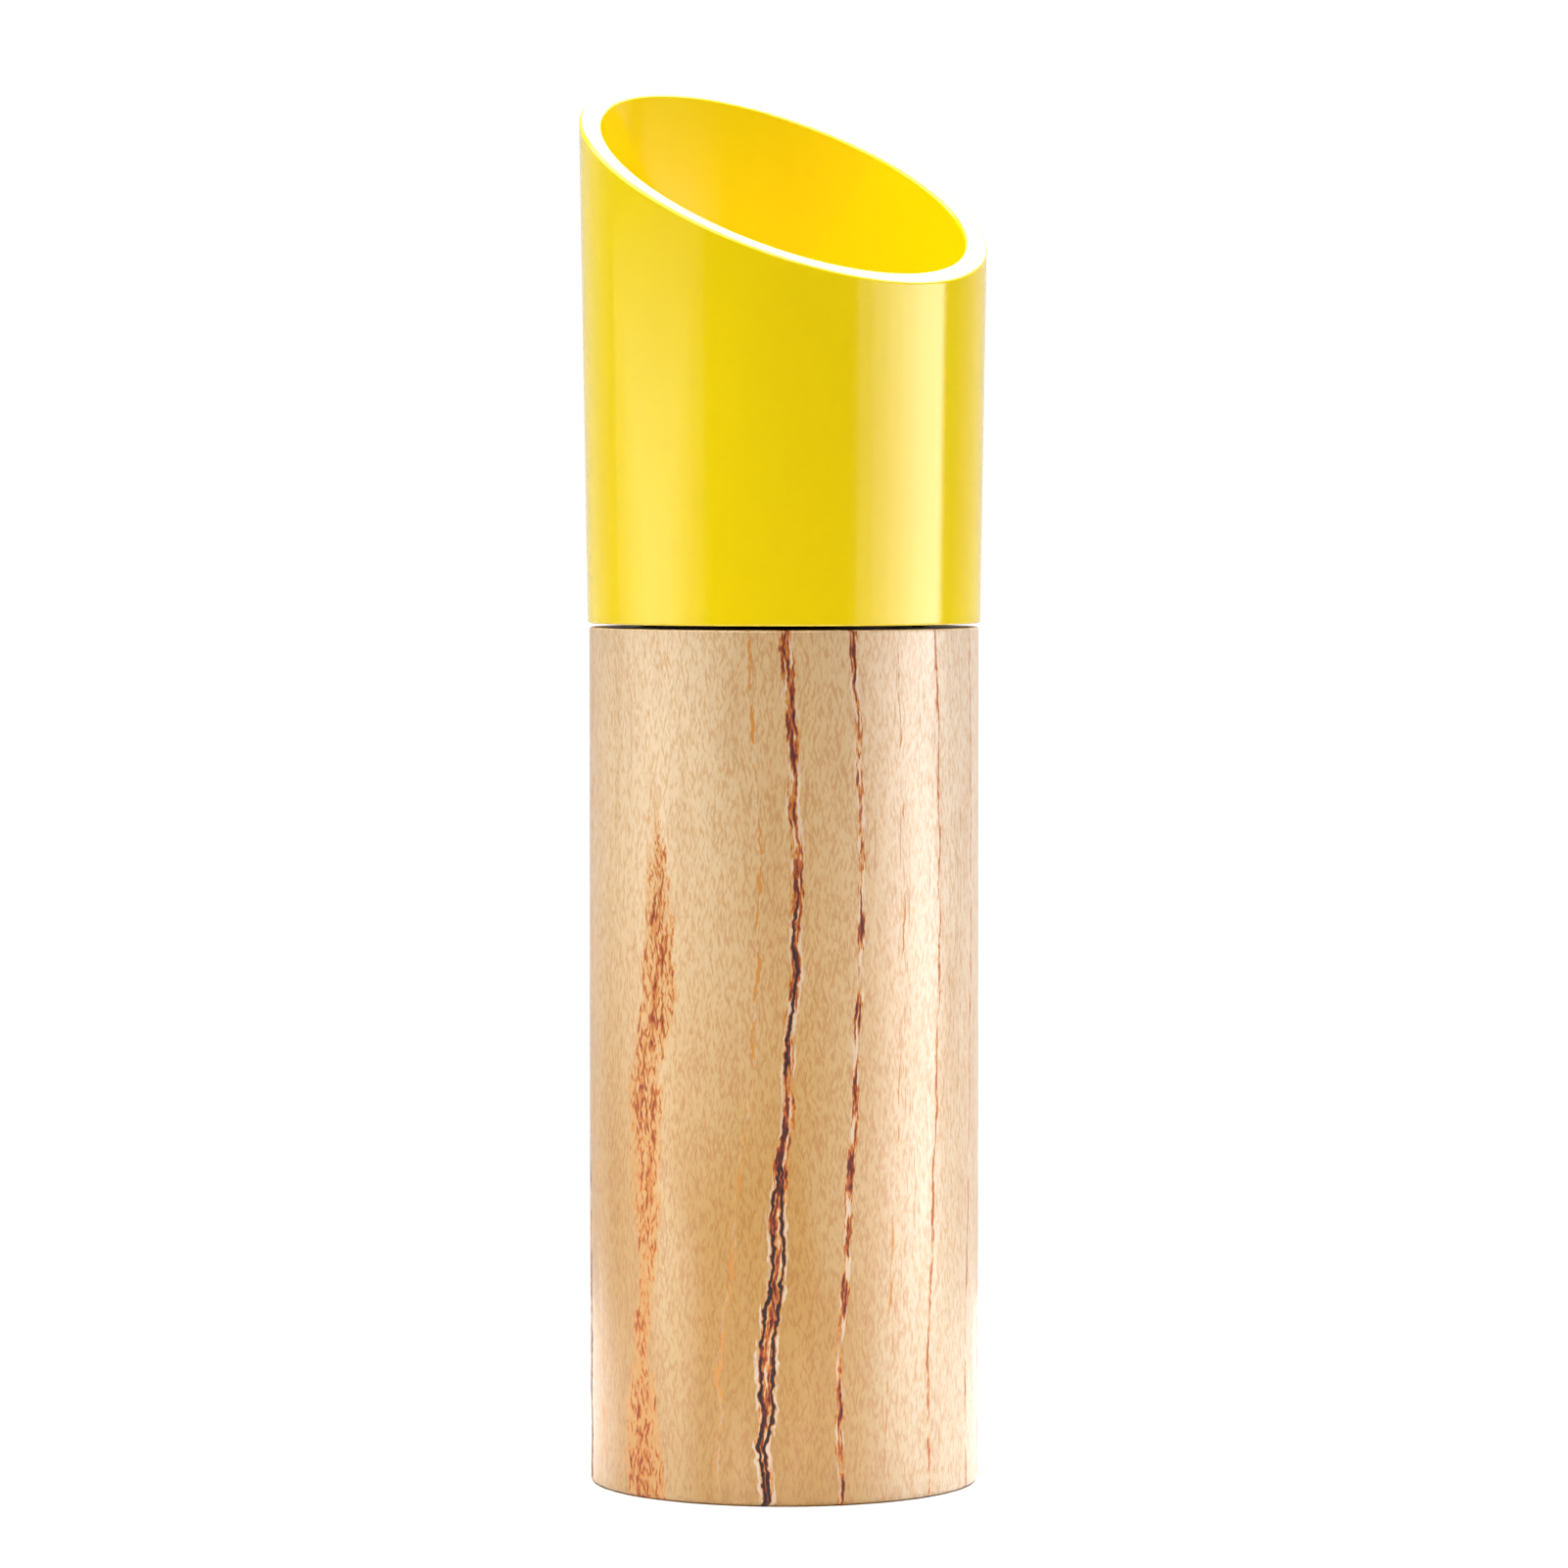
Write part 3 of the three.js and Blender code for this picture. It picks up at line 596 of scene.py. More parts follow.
def gloss_plastic(name, colour, deep, roughness):
    """Glossy moulded plastic: faint flow in the colour, an orange peel and hairline scratches."""
    g = Graph(name)
    flow = g.noise((22, 22, 60), 2.0)
    peel = g.noise(2.2, 1.0, shift=(3, 1, 4))
    hair = g.remap(g.noise((0.25, 7, 9), 2.0, shift=(7, 2, 6)), 0.62, 0.8)
    return g.finish(
        Base_Color=g.mix(g.remap(flow, 0.3, 0.7), colour, deep),
        Roughness=g.total(
            g.remap(flow, 0.3, 0.7, roughness, roughness + 0.03), g.times(hair, 0.05)
        ),
        Normal=g.bump(g.total(g.times(peel, 0.8), g.times(hair, -0.02)), 0.004),
    )


def moulded_plastic(name, colour, scuffed, roughness, grain):
    """Matt moulded plastic: a fine spark-eroded grain, with paler scuffs."""
    g = Graph(name)
    texture = g.noise(grain, 3.0, 0.65)
    scuffs = g.remap(g.noise((1.2, 1.2, 4.0), 4.0, 0.7, shift=(5, 5, 1)), 0.58, 0.75)
    wear = g.total(texture, g.times(scuffs, 0.3))
    return g.finish(
        Base_Color=g.mix(g.times(scuffs, 0.5), colour, scuffed),
        Roughness=g.remap(wear, 0.3, 1.0, roughness, roughness + 0.25),
        Normal=g.bump(texture, 0.02),
    )


def burr_ceramic():
    """Fired ceramic: a sandy grain with sparse dark specks, polished where the teeth rub."""
    g = Graph("burr_ceramic")
    grain = g.noise(0.18, 4.0, 0.7)
    specks = g.remap(g.noise(0.28, 1.0, shift=(3, 8, 1)), 0.72, 0.78)
    cloud = g.noise(5, 2.0)
    body = g.mix(cloud, (0.84, 0.80, 0.71), (0.78, 0.72, 0.62))
    return g.finish(
        Base_Color=g.mix(g.times(specks, 0.6), body, (0.32, 0.26, 0.20)),
        Roughness=g.remap(grain, 0.3, 0.7, 0.34, 0.6),
        Normal=g.bump(grain, 0.03),
    )


def turned_metal(name, colour, tarnish, roughness):
    """Lathe-turned metal: fine rings round the axis, with a little tarnish."""
    g = Graph(name)
    x, y, z = g.split(g.place)
    radius = g.math("SQRT", g.total(g.times(x, x), g.times(y, y)))
    lines = g.noise((0.06, 4.0, 0.06), 3.0, 0.7, at=g.join(radius, 0.0, z))
    stain = g.remap(g.noise(1.6, 3.0, 0.6, shift=(1, 4, 2)), 0.45, 0.75)
    return g.finish(
        Base_Color=g.mix(g.times(stain, 0.6), colour, tarnish),
        Metallic=1.0,
        Roughness=g.total(
            g.remap(lines, 0.3, 0.7, roughness, roughness + 0.14), g.times(stain, 0.1)
        ),
        Normal=g.bump(lines, 0.006),
    )


def seal_rubber():
    """Black rubber with a pale bloom in patches."""
    g = Graph("seal_rubber")
    bloom = g.remap(g.noise(1.1, 4.0, 0.7), 0.5, 0.75)
    skin = g.noise(0.15, 2.0)
    return g.finish(
        Base_Color=g.mix(g.times(bloom, 0.4), (0.018, 0.018, 0.02), (0.07, 0.07, 0.075)),
        Roughness=g.remap(skin, 0.3, 0.7, 0.45, 0.65),
        Normal=g.bump(skin, 0.008),
    )


def printed_ink():
    """White print, worn grey in places."""
    g = Graph("printed_ink")
    wear = g.noise(0.2, 3.0, 0.7)
    return g.finish(
        Base_Color=g.mix(g.remap(wear, 0.55, 0.75), (0.85, 0.85, 0.82), (0.45, 0.45, 0.44)),
        Roughness=g.remap(wear, 0.3, 0.7, 0.4, 0.6),
        Normal=g.bump(wear, 0.01),
    )


ash = ash_wood()
yellow = gloss_plastic("yellow_gloss", (0.93, 0.69, 0.003), (0.90, 0.645, 0.002), 0.11)
black = moulded_plastic("black_plastic", (0.018, 0.018, 0.02), (0.06, 0.06, 0.062), 0.38, 0.12)
nylon = moulded_plastic("natural_nylon", (0.76, 0.73, 0.65), (0.62, 0.58, 0.50), 0.35, 0.2)
ceramic = burr_ceramic()
steel = turned_metal("turned_steel", (0.62, 0.62, 0.63), (0.40, 0.39, 0.38), 0.22)
brass = turned_metal("turned_brass", (0.75, 0.53, 0.21), (0.48, 0.31, 0.12), 0.24)
rubber = seal_rubber()
ink = printed_ink()


# ---- The body ----

def wood_body():
    """The turned body, with a seat for the socket above the bore."""
    seat = SOCKET_RADIUS + GAP
    seat_floor = SOCKET_BASE - GAP
    corners = [
        (0, 0, 0),
        (BODY_RADIUS, 0, 0.8),
        (BODY_RADIUS, BODY_TOP, 0.35),
        (seat, BODY_TOP, 0.3),
        (seat, seat_floor, 0),
        (BODY_BORE, seat_floor, 0.3),
        (BODY_BORE, BODY_FLOOR, 2),
        (0, BODY_FLOOR, 0),
    ]
    body = turned(corners, sides=192)
    settle(body, "turned_body", "body", ["wood_body"], ash)


def mechanism_socket():
    """A sleeve with a lip at its foot and three ribs that the plug's slots slide over."""
    lip = SOCKET_BORE - 1.3
    lip_top = SOCKET_BASE + 1.4
    sleeve = turned([
        (lip, SOCKET_BASE, 0.2),
        (SOCKET_RADIUS, SOCKET_BASE, 0.2),
        (SOCKET_RADIUS, SOCKET_TOP, 0.2),
        (SOCKET_BORE + 0.6, SOCKET_TOP, 0.2),
        (SOCKET_BORE, SOCKET_TOP - 0.6, 0.3),
        (SOCKET_BORE, lip_top, 0),
        (lip, lip_top, 0.2),
    ])
    rib_span = SOCKET_BORE - 1.2, SOCKET_RADIUS - 0.5
    ribs = [bar(*rib_span, RIB_WIDTH, SOCKET_BASE + 0.5, PLUG_BASE + RIB_HEIGHT, a) for a in ARMS]
    settle(joined(sleeve, ribs), "socket", "body", ["mechanism_socket"], black)


# ---- The mechanism ----

BURR_BASE, BURR_TOP = span("outer_burr")
BURR_SEAT = 14.1
BURR_THROAT = 4  # height of the narrowest ring above the outer burr's base
THROAT_RADIUS = 10
MOUTH_RADIUS = 12.1
SPIDER_SEAT = 13.9
TEETH_LEAN = 0.05  # radians per mm of height
OUTER_TEETH, INNER_TEETH, FINE_TEETH = 16, 12, 48
TOOTH_RISE, TOOTH_FALL = 0.82, 0.18  # shares of one tooth


def burr_housing():
    """The plug that holds the mechanism, with seal grooves, a flange, slots and inner lugs."""
    grooves = []
    for node in ("lower_oring", "upper_oring"):
        low, high = span(node)
        base = (low + high - GROOVE_WIDTH) / 2
        grooves += [
            (PLUG_RADIUS, base, 0.15),
            (GROOVE_RADIUS, base, 0.2),
            (GROOVE_RADIUS, base + GROOVE_WIDTH, 0.2),
            (PLUG_RADIUS, base + GROOVE_WIDTH, 0.15),
        ]
    flange_base = FLANGE_TOP - 2.2
    shelf = BURR_BASE - 0.3
    throat = 12.8
    spider_top = span("bearing_spider")[1] + 0.3
    shell = turned([
        (SPIDER_SEAT, PLUG_BASE, 0.2),
        (PLUG_RADIUS, PLUG_BASE, 0.5),
        *grooves,
        (PLUG_RADIUS, flange_base, 0),
        (FLANGE_RADIUS, flange_base, 0.2),
        (FLANGE_RADIUS, FLANGE_TOP, 0.4),
        (PLUG_RADIUS, FLANGE_TOP, 0.2),
        (PLUG_RADIUS, HOUSING_TOP, 0.3),
        (BURR_SEAT, HOUSING_TOP, 0.2),
        (BURR_SEAT, shelf, 0),
        (throat, shelf, 0.3),
        (throat, spider_top + 1, 0),
        (SPIDER_SEAT, spider_top, 0),
    ], steps=3)
    slot_span = SOCKET_BORE - 1.5, PLUG_RADIUS + 1
    slots = [bar(*slot_span, SLOT_WIDTH, PLUG_BASE - 1, PLUG_BASE + SLOT_HEIGHT, a) for a in ARMS]
    lug_span, lug_width = (BURR_SEAT - 0.6, BURR_SEAT + 0.5), 2
    lugs = [bar(*lug_span, lug_width, BURR_BASE - 0.5, BURR_TOP, a) for a in ARMS]
    housing = joined(carved(shell, cut=slots), lugs)
    settle(housing, "plug_housing", "mechanism", ["burr_housing"], black)


def oring(node):
    """A rubber ring of round cord, in its groove."""
    low, high = span(node)
    cord, points = 0.72, 20
    middle, centre = GROOVE_RADIUS + GAP + cord, (low + high) / 2
    section = [
        (middle + cord * math.cos(a), centre + cord * math.sin(a))
        for a in (2 * math.pi * k / points for k in range(points))
    ]
    ring = swept(lambda angle: section)
    settle(ring, f"{node}_seal", "mechanism", [node], rubber)


def saw(teeth, angle):
    """The outline of teeth round a turn, each a slow rise from 0 to 1 and a quick fall."""
    turns = teeth * angle / (2 * math.pi)
    share = turns - math.floor(turns)
    return share / TOOTH_RISE if share < TOOTH_RISE else (1 - share) / TOOTH_FALL


def thread_wave(z, angle):
    """A thread's outline at this height and angle, from 0 at a crest or root to 1 at the other."""
    return abs(((z / THREAD_PITCH - angle / (2 * math.pi)) % 1) * 2 - 1)


def lerp(value, stops):
    """Straight-line interpolation through (place, value) stops."""
    for (a, low), (b, high) in zip(stops, stops[1:]):
        if value <= b:
            return low + (high - low) * max(0, value - a) / (b - a)
    return stops[-1][1]


def outer_burr():
    """The fixed ring, with coarse teeth that feed the corns to fine ones, and lug notches."""
    height = BURR_TOP - BURR_BASE
    inside = ((0, 11.2), (BURR_THROAT, THROAT_RADIUS), (height, MOUTH_RADIUS))
    coarse = ((0, 0.75), (BURR_THROAT, 0.55), (height, 0.12))
    fine = ((0, 0.0), (BURR_THROAT, 0.05), (height, 0.25))
    play, notch, half_notch = 0.2, 0.9, 1.3 / BURR_SEAT
    chamfer = 0.2
    levels = 16

    def outline(angle):
        from_lug = min(abs((angle - a + math.pi) % (2 * math.pi) - math.pi) for a in ARMS)
        back = BURR_SEAT - (notch if from_lug < half_notch else play)
        wall = []
        for k in range(levels + 1):
            z = height * (1 - k / levels)
            depth = lerp(z, coarse) * saw(OUTER_TEETH, angle - TEETH_LEAN * z)
            depth += lerp(z, fine) * saw(FINE_TEETH, angle + TEETH_LEAN * z)
            wall.append((lerp(z, inside) + depth, BURR_BASE + z))
        return [
            (back, BURR_BASE + chamfer),
            (back, BURR_TOP - chamfer),
            (back - chamfer, BURR_TOP),
            *wall,
            (back - chamfer, BURR_BASE),
        ]

    ring = swept(outline, sides=384)
    settle(ring, "ring_burr", "mechanism", ["outer_burr"], ceramic)


def burr_retainer():
    """The ring over the outer burr, with three notches for the tool that fits it."""
    low, high = span("burr_retainer")
    inner, outer = 12.35, 14
    notch_end, notch_width, notch_floor = 12.9, 2.4, high - 0.8
    ring = turned(ring_section(inner, outer, low, high))
    carved(ring, cut=[
        bar(11, notch_end, notch_width, notch_floor, high + 1, a + math.pi / 3) for a in ARMS
    ])
    settle(ring, "retainer_ring", "mechanism", ["burr_retainer"], black, 0.12)


def bearing_spider():
    """A ring and three arms that hold the spindle's bush."""
    low, high = span("bearing_spider")
    inner, outer, boss_radius, bore = 11.6, 13.8, 5, 3.6
    arm_width = 3.2
    ring = turned(ring_section(inner, outer, low, high))
    boss = disc(boss_radius, low, high)
    arms = [bar(3, inner + 0.4, arm_width, low, high, a, taper=0.85) for a in ARMS]
    carved(ring, add=[boss, *arms], cut=[disc(bore, low - 1, high + 1)])
    settle(ring, "spindle_spider", "mechanism", ["bearing_spider"], black, 0.2)


def bearing_bush():
    """A flanged bush that the spindle turns in."""
    low, high = span("bearing_bush")
    barrel, flange, flange_top = 3.5, 4.6, low + 0.6
    bush = turned([
        (SPINDLE_BORE, low, 0.1),
        (flange, low, 0.15),
        (flange, flange_top, 0.15),
        (barrel, flange_top, 0),
        (barrel, high, 0.15),
        (SPINDLE_BORE, high, 0.15),
    ], sides=SMALL_SIDES)
    settle(bush, "spindle_bush", "mechanism", ["bearing_bush"], brass)


# ---- The head ----

def collar():
    """The flared shell, cut off at a slant, and the posts for the hub's screws."""
    ledge_top = COLLAR_BASE + 3
    bore = PLUG_RADIUS + 0.3
    rim_fillet = 0.45
    levels = 10  # along each side of the wall

    def wall(height, depth):
        return COLLAR_RADIUS + COLLAR_FLARE * (height - COLLAR_BASE) - depth

    def rim_corner(slope, depth):
        """Where the wall meets the cut, in the plane through the axis where it has this slope."""
        foot = wall(0, depth)
        height = (CUT_HEIGHT + slope * foot) / (1 - slope * COLLAR_FLARE)
        return wall(height, depth), height

    def outline(angle):
        slope = CUT_SLOPE * math.sin(angle)
        outside, inside = rim_corner(slope, 0), rim_corner(slope, COLLAR_WALL)
        outer_run, inner_run = outside[1] - 5 - COLLAR_BASE, inside[1] - 5 - ledge_top
        rise = [COLLAR_BASE + 1 + outer_run * k / levels for k in range(levels + 1)]
        fall = [inside[1] - 3 - inner_run * k / levels for k in range(levels + 1)]
        return filleted([
            (bore, COLLAR_BASE, 0.2),
            (wall(COLLAR_BASE, 0), COLLAR_BASE, 0.3),
            *((wall(z, 0), z, 0) for z in rise),
            (*outside, rim_fillet),
            (*inside, rim_fillet),
            *((wall(z, COLLAR_WALL), z, 0) for z in fall),
            (wall(ledge_top, COLLAR_WALL), ledge_top, 0.8),
            (bore, ledge_top, 0.2),
        ], steps=7)

    shell = swept(outline, sides=256)
    post_radius, pilot_radius, post_base, post_top = 1.7, 1, ledge_top - 1, HUB_BASE - 0.2
    rib_end, rib_width = 23.5, 2.4
    posts = []
    for a in ARMS:
        spot = polar(SCREW_CIRCLE, a)
        post = disc(post_radius, post_base, post_top, 32, spot)
        rib = bar(SCREW_CIRCLE, rib_end, rib_width, post_base, post_top, a)
        pilot = disc(pilot_radius, ledge_top, post_top + 1, 24, spot)
        posts.append(carved(post, add=[rib], cut=[pilot]))
    joined(shell, posts)
    settle(shell, "collar_shell", "head", ["collar"], yellow)


def flat_ring(node, name, material, inner, outer, edge):
    """A washer of the head, with rounded edges."""
    corners = ring_section(inner, outer, *span(node), edge)
    ring = turned(corners, sides=96, steps=3)
    settle(ring, name, "head", [node], material)


def drive_hub():
    """The collar's floor: a rim and three spokes round the hexagonal hole that turns the rotor."""
    inner, outer, boss_radius, dish_radius = 17.2, 22.15, 7, 5.9
    spoke_base, spoke_width = HOUSING_TOP + 0.6, 4.4
    hole_radius = 1.1
    below, above = HUB_BASE - 1, HUB_TOP + 1
    rim = turned(ring_section(inner, outer, HUB_BASE, HUB_TOP), sides=128)
    boss = disc(boss_radius, spoke_base, HUB_TOP, 96)
    spokes = [bar(5.5, inner + 0.5, spoke_width, spoke_base, HUB_TOP, a, taper=0.85) for a in ARMS]
    holes = [disc(hole_radius, below, above, 32, polar(SCREW_CIRCLE, a)) for a in ARMS]
    dish = disc(dish_radius, HUB_TOP - 0.5, above, 96)
    socket = hex_bar(HEX_FLATS + 0.2, below, above)
    hub = carved(rim, add=[boss, *spokes], cut=[socket, dish, *holes])
    settle(hub, "hub_plate", "head", ["drive_hub"], black, 0.3)


def hub_screw(node, angle):
    """A pan-head screw with a cross recess and a thread that cuts into the collar's post."""
    low, high = span(node)
    under = high - 1.25
    core, crest, half_pitch = 0.7, 0.2, 0.25
    shank, head = 0.85, 1.7
    screw = turned([
        (0, low, 0),
        (0.3, low, 0),
        *((core + crest * (k % 2), low + 0.5 + half_pitch * k, 0) for k in range(18)),
        (shank, under, 0),
        (head, under, 0.1),
        (head, under + 0.7, 0.3),
        (1.1, high, 0.4),
        (0, high, 0),
    ], sides=48, steps=4)
    blade_width, recess_floor = 0.42, high - 0.75
    carved(screw, cut=[
        bar(-1.0, 1.0, blade_width, recess_floor, high + 1, turn + 0.4)
        for turn in (0, math.pi / 2)
    ])
    screw.data.transform(Matrix.Rotation(angle * 1.7, 4, "Z"))  # each recess at its own angle
    shifted(screw, *polar(SCREW_CIRCLE, angle))
    settle(screw, f"{node}_crosshead", "head", [node], steel)


def spindle():
    """An M5 bolt: a domed head, a plain shank with a flat along it, and a thread at the top."""
    low, high = span("spindle")
    head_top = low + 1.8
    thread_base = high - 12
    thread_depth = 0.4
    per_turn = 8
    steps = int((high - 0.8 - thread_base) / THREAD_PITCH * per_turn)
    dome = [(0.0, low), (3.4, low), (4.0, low + 0.25), (4.2, low + 0.8), (4.2, head_top)]
    shank = [(SPINDLE_RADIUS, head_top), (SPINDLE_RADIUS, thread_base)]
    tip = [(SPINDLE_RADIUS - 0.5, high - 0.4), (SPINDLE_RADIUS - 0.8, high), (0.0, high)]

    def outline(angle):
        heights = [thread_base + k * THREAD_PITCH / per_turn for k in range(steps + 1)]
        thread = [(SPINDLE_RADIUS - thread_depth * thread_wave(z, angle), z) for z in heights]
        return dome + shank + thread + tip

    bolt = reshaped(swept(outline, sides=72), close_axis)
    block, flat_depth = 6, 0.6  # a square block set back until it cuts the flat
    flat = disc(
        block, span("rotor_core")[0] - 1, high + 1, 4,
        at=(0, SPINDLE_RADIUS - flat_depth + block / math.sqrt(2)), turn=math.pi / 4,
    )
    slot = bar(-4, 4, 0.7, high - 0.7, high + 1, 0.5)
    carved(bolt, cut=[flat, slot])
    settle(bolt, "spindle_bolt", "head", ["spindle"], steel)


def burr_spring():
    """A compression spring with closed ends."""
    low, high = span("burr_spring")
    wire, radius, turns = 0.45, 4.2, 4.75
    length = high - low - 2 * wire
    rise = [(0.0, 0.0), (0.16, 0.05), (0.84, 0.95), (1.0, 1.0)]  # flat coils at both ends
    steps, around = 320, 14
    up = Vector((0, 0, 1))
    points, faces = [], []
    for i in range(steps + 1):
        share = i / steps
        angle = share * turns * 2 * math.pi
        centre = Vector(polar(radius, angle, low + wire + length * lerp(share, rise)))
        out = Vector(polar(1, angle, 0))
        for k in range(around):
            spin = 2 * math.pi * k / around
            points.append(centre + (out * math.cos(spin) + up * math.sin(spin)) * wire)
    for i in range(steps):
        here, there = i * around, (i + 1) * around
        for k in range(around):
            after = (k + 1) % around
            faces.append((here + k, here + after, there + after, there + k))
    faces += [tuple(range(around)), tuple(range(steps * around, (steps + 1) * around))]
    spring = mesh_object(points, faces, "lift_spring")
    spring.data.materials.append(steel)
    spring.data.shade_smooth()
    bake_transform(spring)
    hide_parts("burr_spring")


# ---- The rotor and the adjuster ----

def hex_radius(flats, angle):
    """Distance from the axis to a hexagon with a corner on +Y."""
    into = (angle + math.pi / 6 - math.pi / 2) % (math.pi / 3) - math.pi / 6
    return flats / 2 / math.cos(math.pi / 6 - abs(into))


def rotor_core():
    """The hexagonal core that the hub turns, with a flange for the spring."""
    low, high = span("rotor_core")
    flange_radius, flange_height = 5.6, 1.2
    core = disc(flange_radius, low, low + flange_height, 96)
    bore = disc(SPINDLE_BORE, low - 1, high + 1)
    carved(core, add=[hex_bar(HEX_FLATS, low, high)], cut=[bore])
    settle(core, "hex_core", "rotor", ["rotor_core"], nylon, 0.15)


def inner_burr():
    """The turning cone, whose fine teeth run a little inside the outer burr's."""
    low, high = span("inner_burr")
    height = high - low
    shoulder = BURR_BASE + BURR_THROAT - low
    slope = (MOUTH_RADIUS - THROAT_RADIUS) / (BURR_TOP - BURR_BASE - BURR_THROAT)
    neck = THROAT_RADIUS - 0.45
    top = neck + slope * (height - shoulder)
    foot = 6.2
    outside = ((0, foot), (shoulder / 2, (foot + neck) / 2), (shoulder, neck), (height, top))
    coarse = ((0, 0.5), (shoulder / 2, 1.3), (shoulder, 0.7), (height, 0.1))
    fine = ((0, 0.0), (shoulder, 0.05), (height, 0.28))
    levels = 22

    def outline(angle):
        wall = []
        for k in range(levels + 1):
            z = height * k / levels
            depth = lerp(z, coarse) * saw(INNER_TEETH, angle - TEETH_LEAN * z)
            depth += lerp(z, fine) * saw(FINE_TEETH, angle - TEETH_LEAN * z)
            wall.append((lerp(z, outside) - depth, low + z))
        hole = hex_radius(HEX_FLATS + 0.2, angle)
        return [*wall, (hole, high), (hole, low)]

    cone = swept(outline, sides=384)
    settle(cone, "cone_burr", "rotor", ["inner_burr"], ceramic)


def burr_clip():
    """The notched plate that holds the inner burr on the core."""
    low, high = span("burr_clip")
    radius, notch_base, notch_width = 6.8, 5.4, 1.6
    below, above = low - 1, high + 1
    plate = turned(ring_section(0, radius, low, high), sides=96)
    notches = [bar(notch_base, 8, notch_width, below, above, a + math.pi / 3) for a in ARMS]
    carved(plate, cut=[hex_bar(HEX_FLATS + GAP, below, above), *notches])
    settle(plate, "burr_clip_plate", "rotor", ["burr_clip"], steel, 0.08)


def adjuster_knob():
    """A scalloped finger wheel with a dished top, and printed dots from fine to coarse."""
    low, high = span("adjuster_knob")
    bore, dish_floor = 3.4, high - 0.7
    radius, scallop, scallops = 8.6, 0.4, 12

    def outline(angle):
        grip = radius + scallop * math.cos(scallops * angle)
        return filleted([
            (bore, low, 0.15),
            (grip, low, 0.4),
            (grip, high, 0.6),
            (5.6, high, 0.2),
            (5.2, dish_floor, 0.3),
            (bore, dish_floor, 0.1),
        ], steps=4)

    wheel = swept(outline, sides=288)
    settle(wheel, "adjuster_wheel", "adjuster", ["adjuster_knob"], black)
    dot_circle, print_top = 6.9, high + 0.03
    dots = []
    for i in range(7):
        size = 0.28 + 0.07 * i
        section = [(0, high, 0), (size, high, 0), (size, print_top, 0.02), (0, print_top, 0)]
        dot = turned(section, sides=24, steps=2)
        dots.append(shifted(dot, *polar(dot_circle, math.radians(20 + 34 * i))))
    settle(joined(dots[0], dots[1:]), "grind_dots", "adjuster", [], ink)


def knob_insert():
    """A threaded brass insert, knurled where the wheel is moulded round it."""
    low, high = span("knob_insert")
    radius, knurl, knurls, chamfer = 3.22, 0.08, 36, 0.15
    root, thread_depth = SPINDLE_RADIUS + 0.42, 0.3
    levels = 35

    def outline(angle):
        skin = radius + knurl * math.cos(knurls * angle)
        heights = [high - 0.2 - (high - low - 0.4) * k / levels for k in range(levels + 1)]
        return [
            (skin - chamfer, low),
            (skin, low + 0.3),
            (skin, high - 0.3),
            (skin - chamfer, high),
            *((root - thread_depth * thread_wave(z, angle), z) for z in heights),
        ]

    insert = swept(outline, sides=144)
    settle(insert, "threaded_insert", "adjuster", ["knob_insert"], brass)


wood_body()
mechanism_socket()
burr_housing()
oring("lower_oring")
oring("upper_oring")
outer_burr()
burr_retainer()
bearing_spider()
bearing_bush()
collar()
flat_ring("glide_washer", "glide_ring", nylon, inner=16.7, outer=18.2, edge=0.1)
drive_hub()
for i, screw_angle in enumerate(ARMS):
    hub_screw(f"hub_screw_{i + 1}", screw_angle)
spindle()
flat_ring("spindle_washer", "thrust_washer", steel, inner=2.65, outer=4.6, edge=0.12)
flat_ring("spring_washer", "spring_seat", steel, inner=2.65, outer=5.2, edge=0.12)
burr_spring()
rotor_core()
inner_burr()
burr_clip()
adjuster_knob()
knob_insert()


# ---- Studio ----

# Lengths from here on are metres, but for the floor's.
VIEW_AZIMUTH = math.radians(-38.2)
BACK = Vector((math.sin(VIEW_AZIMUTH), -math.cos(VIEW_AZIMUTH), 0))  # from the mill to the camera
RIGHT = Vector((math.cos(VIEW_AZIMUTH), math.sin(VIEW_AZIMUTH), 0))
CAMERA_DISTANCE, CAMERA_HEIGHT, CAMERA_PITCH = 0.852, 0.12606, math.radians(-2.44)
FOCAL_LENGTH, SENSOR = 152.2, 36
FLOOR_RADIUS, FLOOR_DEPTH = 200, 6
CARD_DISTANCE = 0.7
CARD_STEP = 0.01  # between stacked cards, which would hide each other in one plane
CARD_FOOT = -0.15
ROOM, PAPER = 0.06, 0.75  # brightness in front of the mill and behind it
WHITE = 1.05  # brightness of the backdrop as the camera sees it
FADE = 0.25, 0.9  # cosines between which the room turns into the backdrop


def aim(obj, place, target):
    """Puts a camera or light at place, turned to target."""
    obj.location = place
    obj.rotation_mode = "QUATERNION"
    obj.rotation_quaternion = (Vector(target) - Vector(place)).to_track_quat("-Z", "Y")
    bpy.context.collection.objects.link(obj)
    return obj


def camera():
    lens = bpy.data.cameras.new("camera")
    lens.sensor_width, lens.lens = SENSOR, FOCAL_LENGTH
    place = BACK * CAMERA_DISTANCE + Vector((0, 0, CAMERA_HEIGHT))
    ahead = -BACK * math.cos(CAMERA_PITCH) + Vector((0, 0, math.sin(CAMERA_PITCH)))
    bpy.context.scene.camera = aim(bpy.data.objects.new("camera", lens), place, place + ahead)


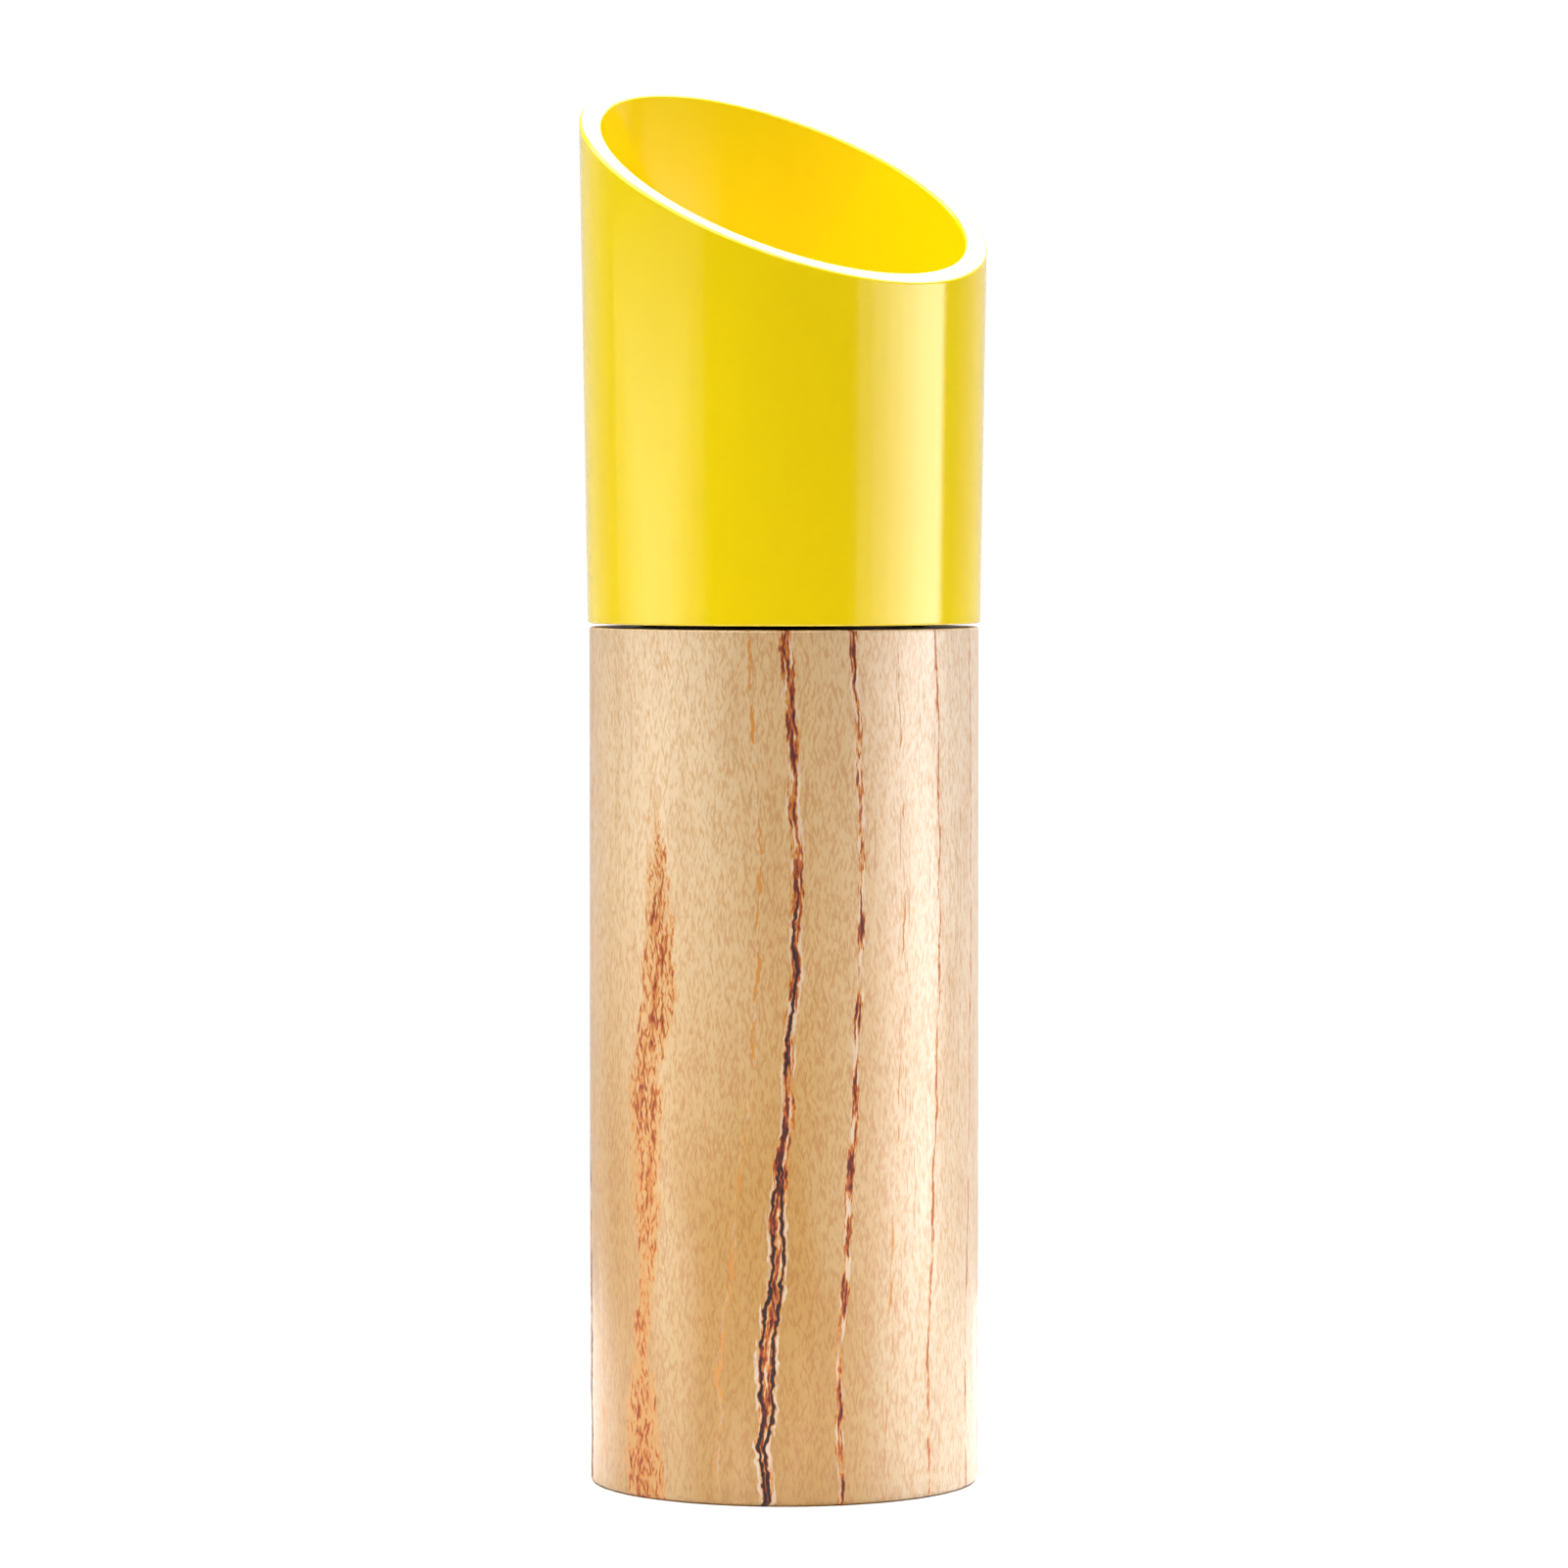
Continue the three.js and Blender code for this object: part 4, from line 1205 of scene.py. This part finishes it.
def softbox(name, bearing, elevation, distance, width, height, radiance, aimed_at=0.09):
    """A soft light aimed at the axis, at a bearing in degrees from the camera to the right."""
    lamp = bpy.data.lights.new(name, "AREA")
    lamp.shape, lamp.size, lamp.size_y = "RECTANGLE", width, height
    lamp.energy = radiance * math.pi * width * height
    side, up = math.radians(bearing), math.radians(elevation)
    level = BACK * math.cos(side) + RIGHT * math.sin(side)
    away = level * math.cos(up) + Vector((0, 0, math.sin(up)))
    target = Vector((0, 0, aimed_at))
    return aim(bpy.data.objects.new(name, lamp), target + away * distance, target)


def graded_card(name, cards, radiance):
    """Stacked cards, each (first bearing, last bearing, top height), brightest where all overlap.

    Only the gloss picks them up.
    """
    for i, (first, last, top) in enumerate(cards):
        away = CARD_DISTANCE + CARD_STEP * i
        bearing, middle = (first + last) / 2, (CARD_FOOT + top) / 2
        width = 2 * away * math.tan(math.radians(abs(last - first) / 2))
        height, share = top - CARD_FOOT, radiance / len(cards)
        card = softbox(f"{name}_{i}", bearing, 0, away, width, height, share, middle)
        card.visible_diffuse = False


def floor():
    """A round white table just larger than what the camera sees of it."""
    obj = mesh_object(*prism(FLOOR_RADIUS, -FLOOR_DEPTH, 0, 128, 0), "floor")
    g = Graph("floor")
    grain = g.noise(60, 3.0)
    obj.data.materials.append(g.finish(
        Base_Color=g.mix(grain, (0.97, 0.97, 0.97), (0.95, 0.95, 0.95)),
        Roughness=0.9,
        Specular_IOR_Level=0.1,
    ))


def backdrop():
    """White behind the mill, paper white to the camera, and a dim room in front."""
    world = bpy.data.worlds.new("studio")
    world.use_nodes = True
    nodes, links = world.node_tree.nodes, world.node_tree.links
    output, room = nodes["World Output"], nodes["Background"]
    direction = nodes.new("ShaderNodeTexCoord").outputs["Generated"]
    behind = nodes.new("ShaderNodeVectorMath")
    behind.operation = "DOT_PRODUCT"
    behind.inputs[1].default_value = -BACK
    links.new(direction, behind.inputs[0])
    fade = nodes.new("ShaderNodeMapRange")
    fade.interpolation_type = "SMOOTHSTEP"
    for socket, value in zip(list(fade.inputs)[1:5], (*FADE, ROOM, PAPER)):
        socket.default_value = value
    links.new(behind.outputs["Value"], fade.inputs[0])
    links.new(fade.outputs[0], room.inputs["Strength"])
    white = nodes.new("ShaderNodeBackground")
    for background in (room, white):
        background.inputs["Color"].default_value = (1, 1, 1, 1)
    white.inputs["Strength"].default_value = WHITE
    path = nodes.new("ShaderNodeLightPath")
    choice = nodes.new("ShaderNodeMixShader")
    links.new(path.outputs["Is Camera Ray"], choice.inputs[0])
    links.new(room.outputs[0], choice.inputs[1])
    links.new(white.outputs[0], choice.inputs[2])
    links.new(choice.outputs[0], output.inputs["Surface"])
    bpy.context.scene.world = world


camera()
floor()
backdrop()
graded_card(
    "left_card",
    ((-68, -88, 0.11), (-61, -95, 0.135), (-54, -103, 0.155), (-46, -112, 0.175)),
    radiance=2.8,
)
graded_card(
    "right_card",
    ((79, 100, 0.18), (70, 101, 0.19), (61, 102, 0.20), (52, 103, 0.21), (42, 104, 0.22)),
    radiance=6.6,
)
softbox("front_top", -12, 54, 0.7, 0.7, 0.55, radiance=4.3, aimed_at=0.17)
softbox("left_top", -100, 54, 0.75, 0.6, 0.5, radiance=5.5, aimed_at=0.15)
softbox("right_top", 112, 54, 0.75, 0.6, 0.5, radiance=7.2, aimed_at=0.15)
softbox("overhead", 0, 88, 1.0, 1.3, 1.3, radiance=1.1)
softbox("back_top", 167, 38, 0.9, 0.7, 0.5, radiance=4.6, aimed_at=0.16)
bpy.context.scene.view_settings.view_transform = "Standard"
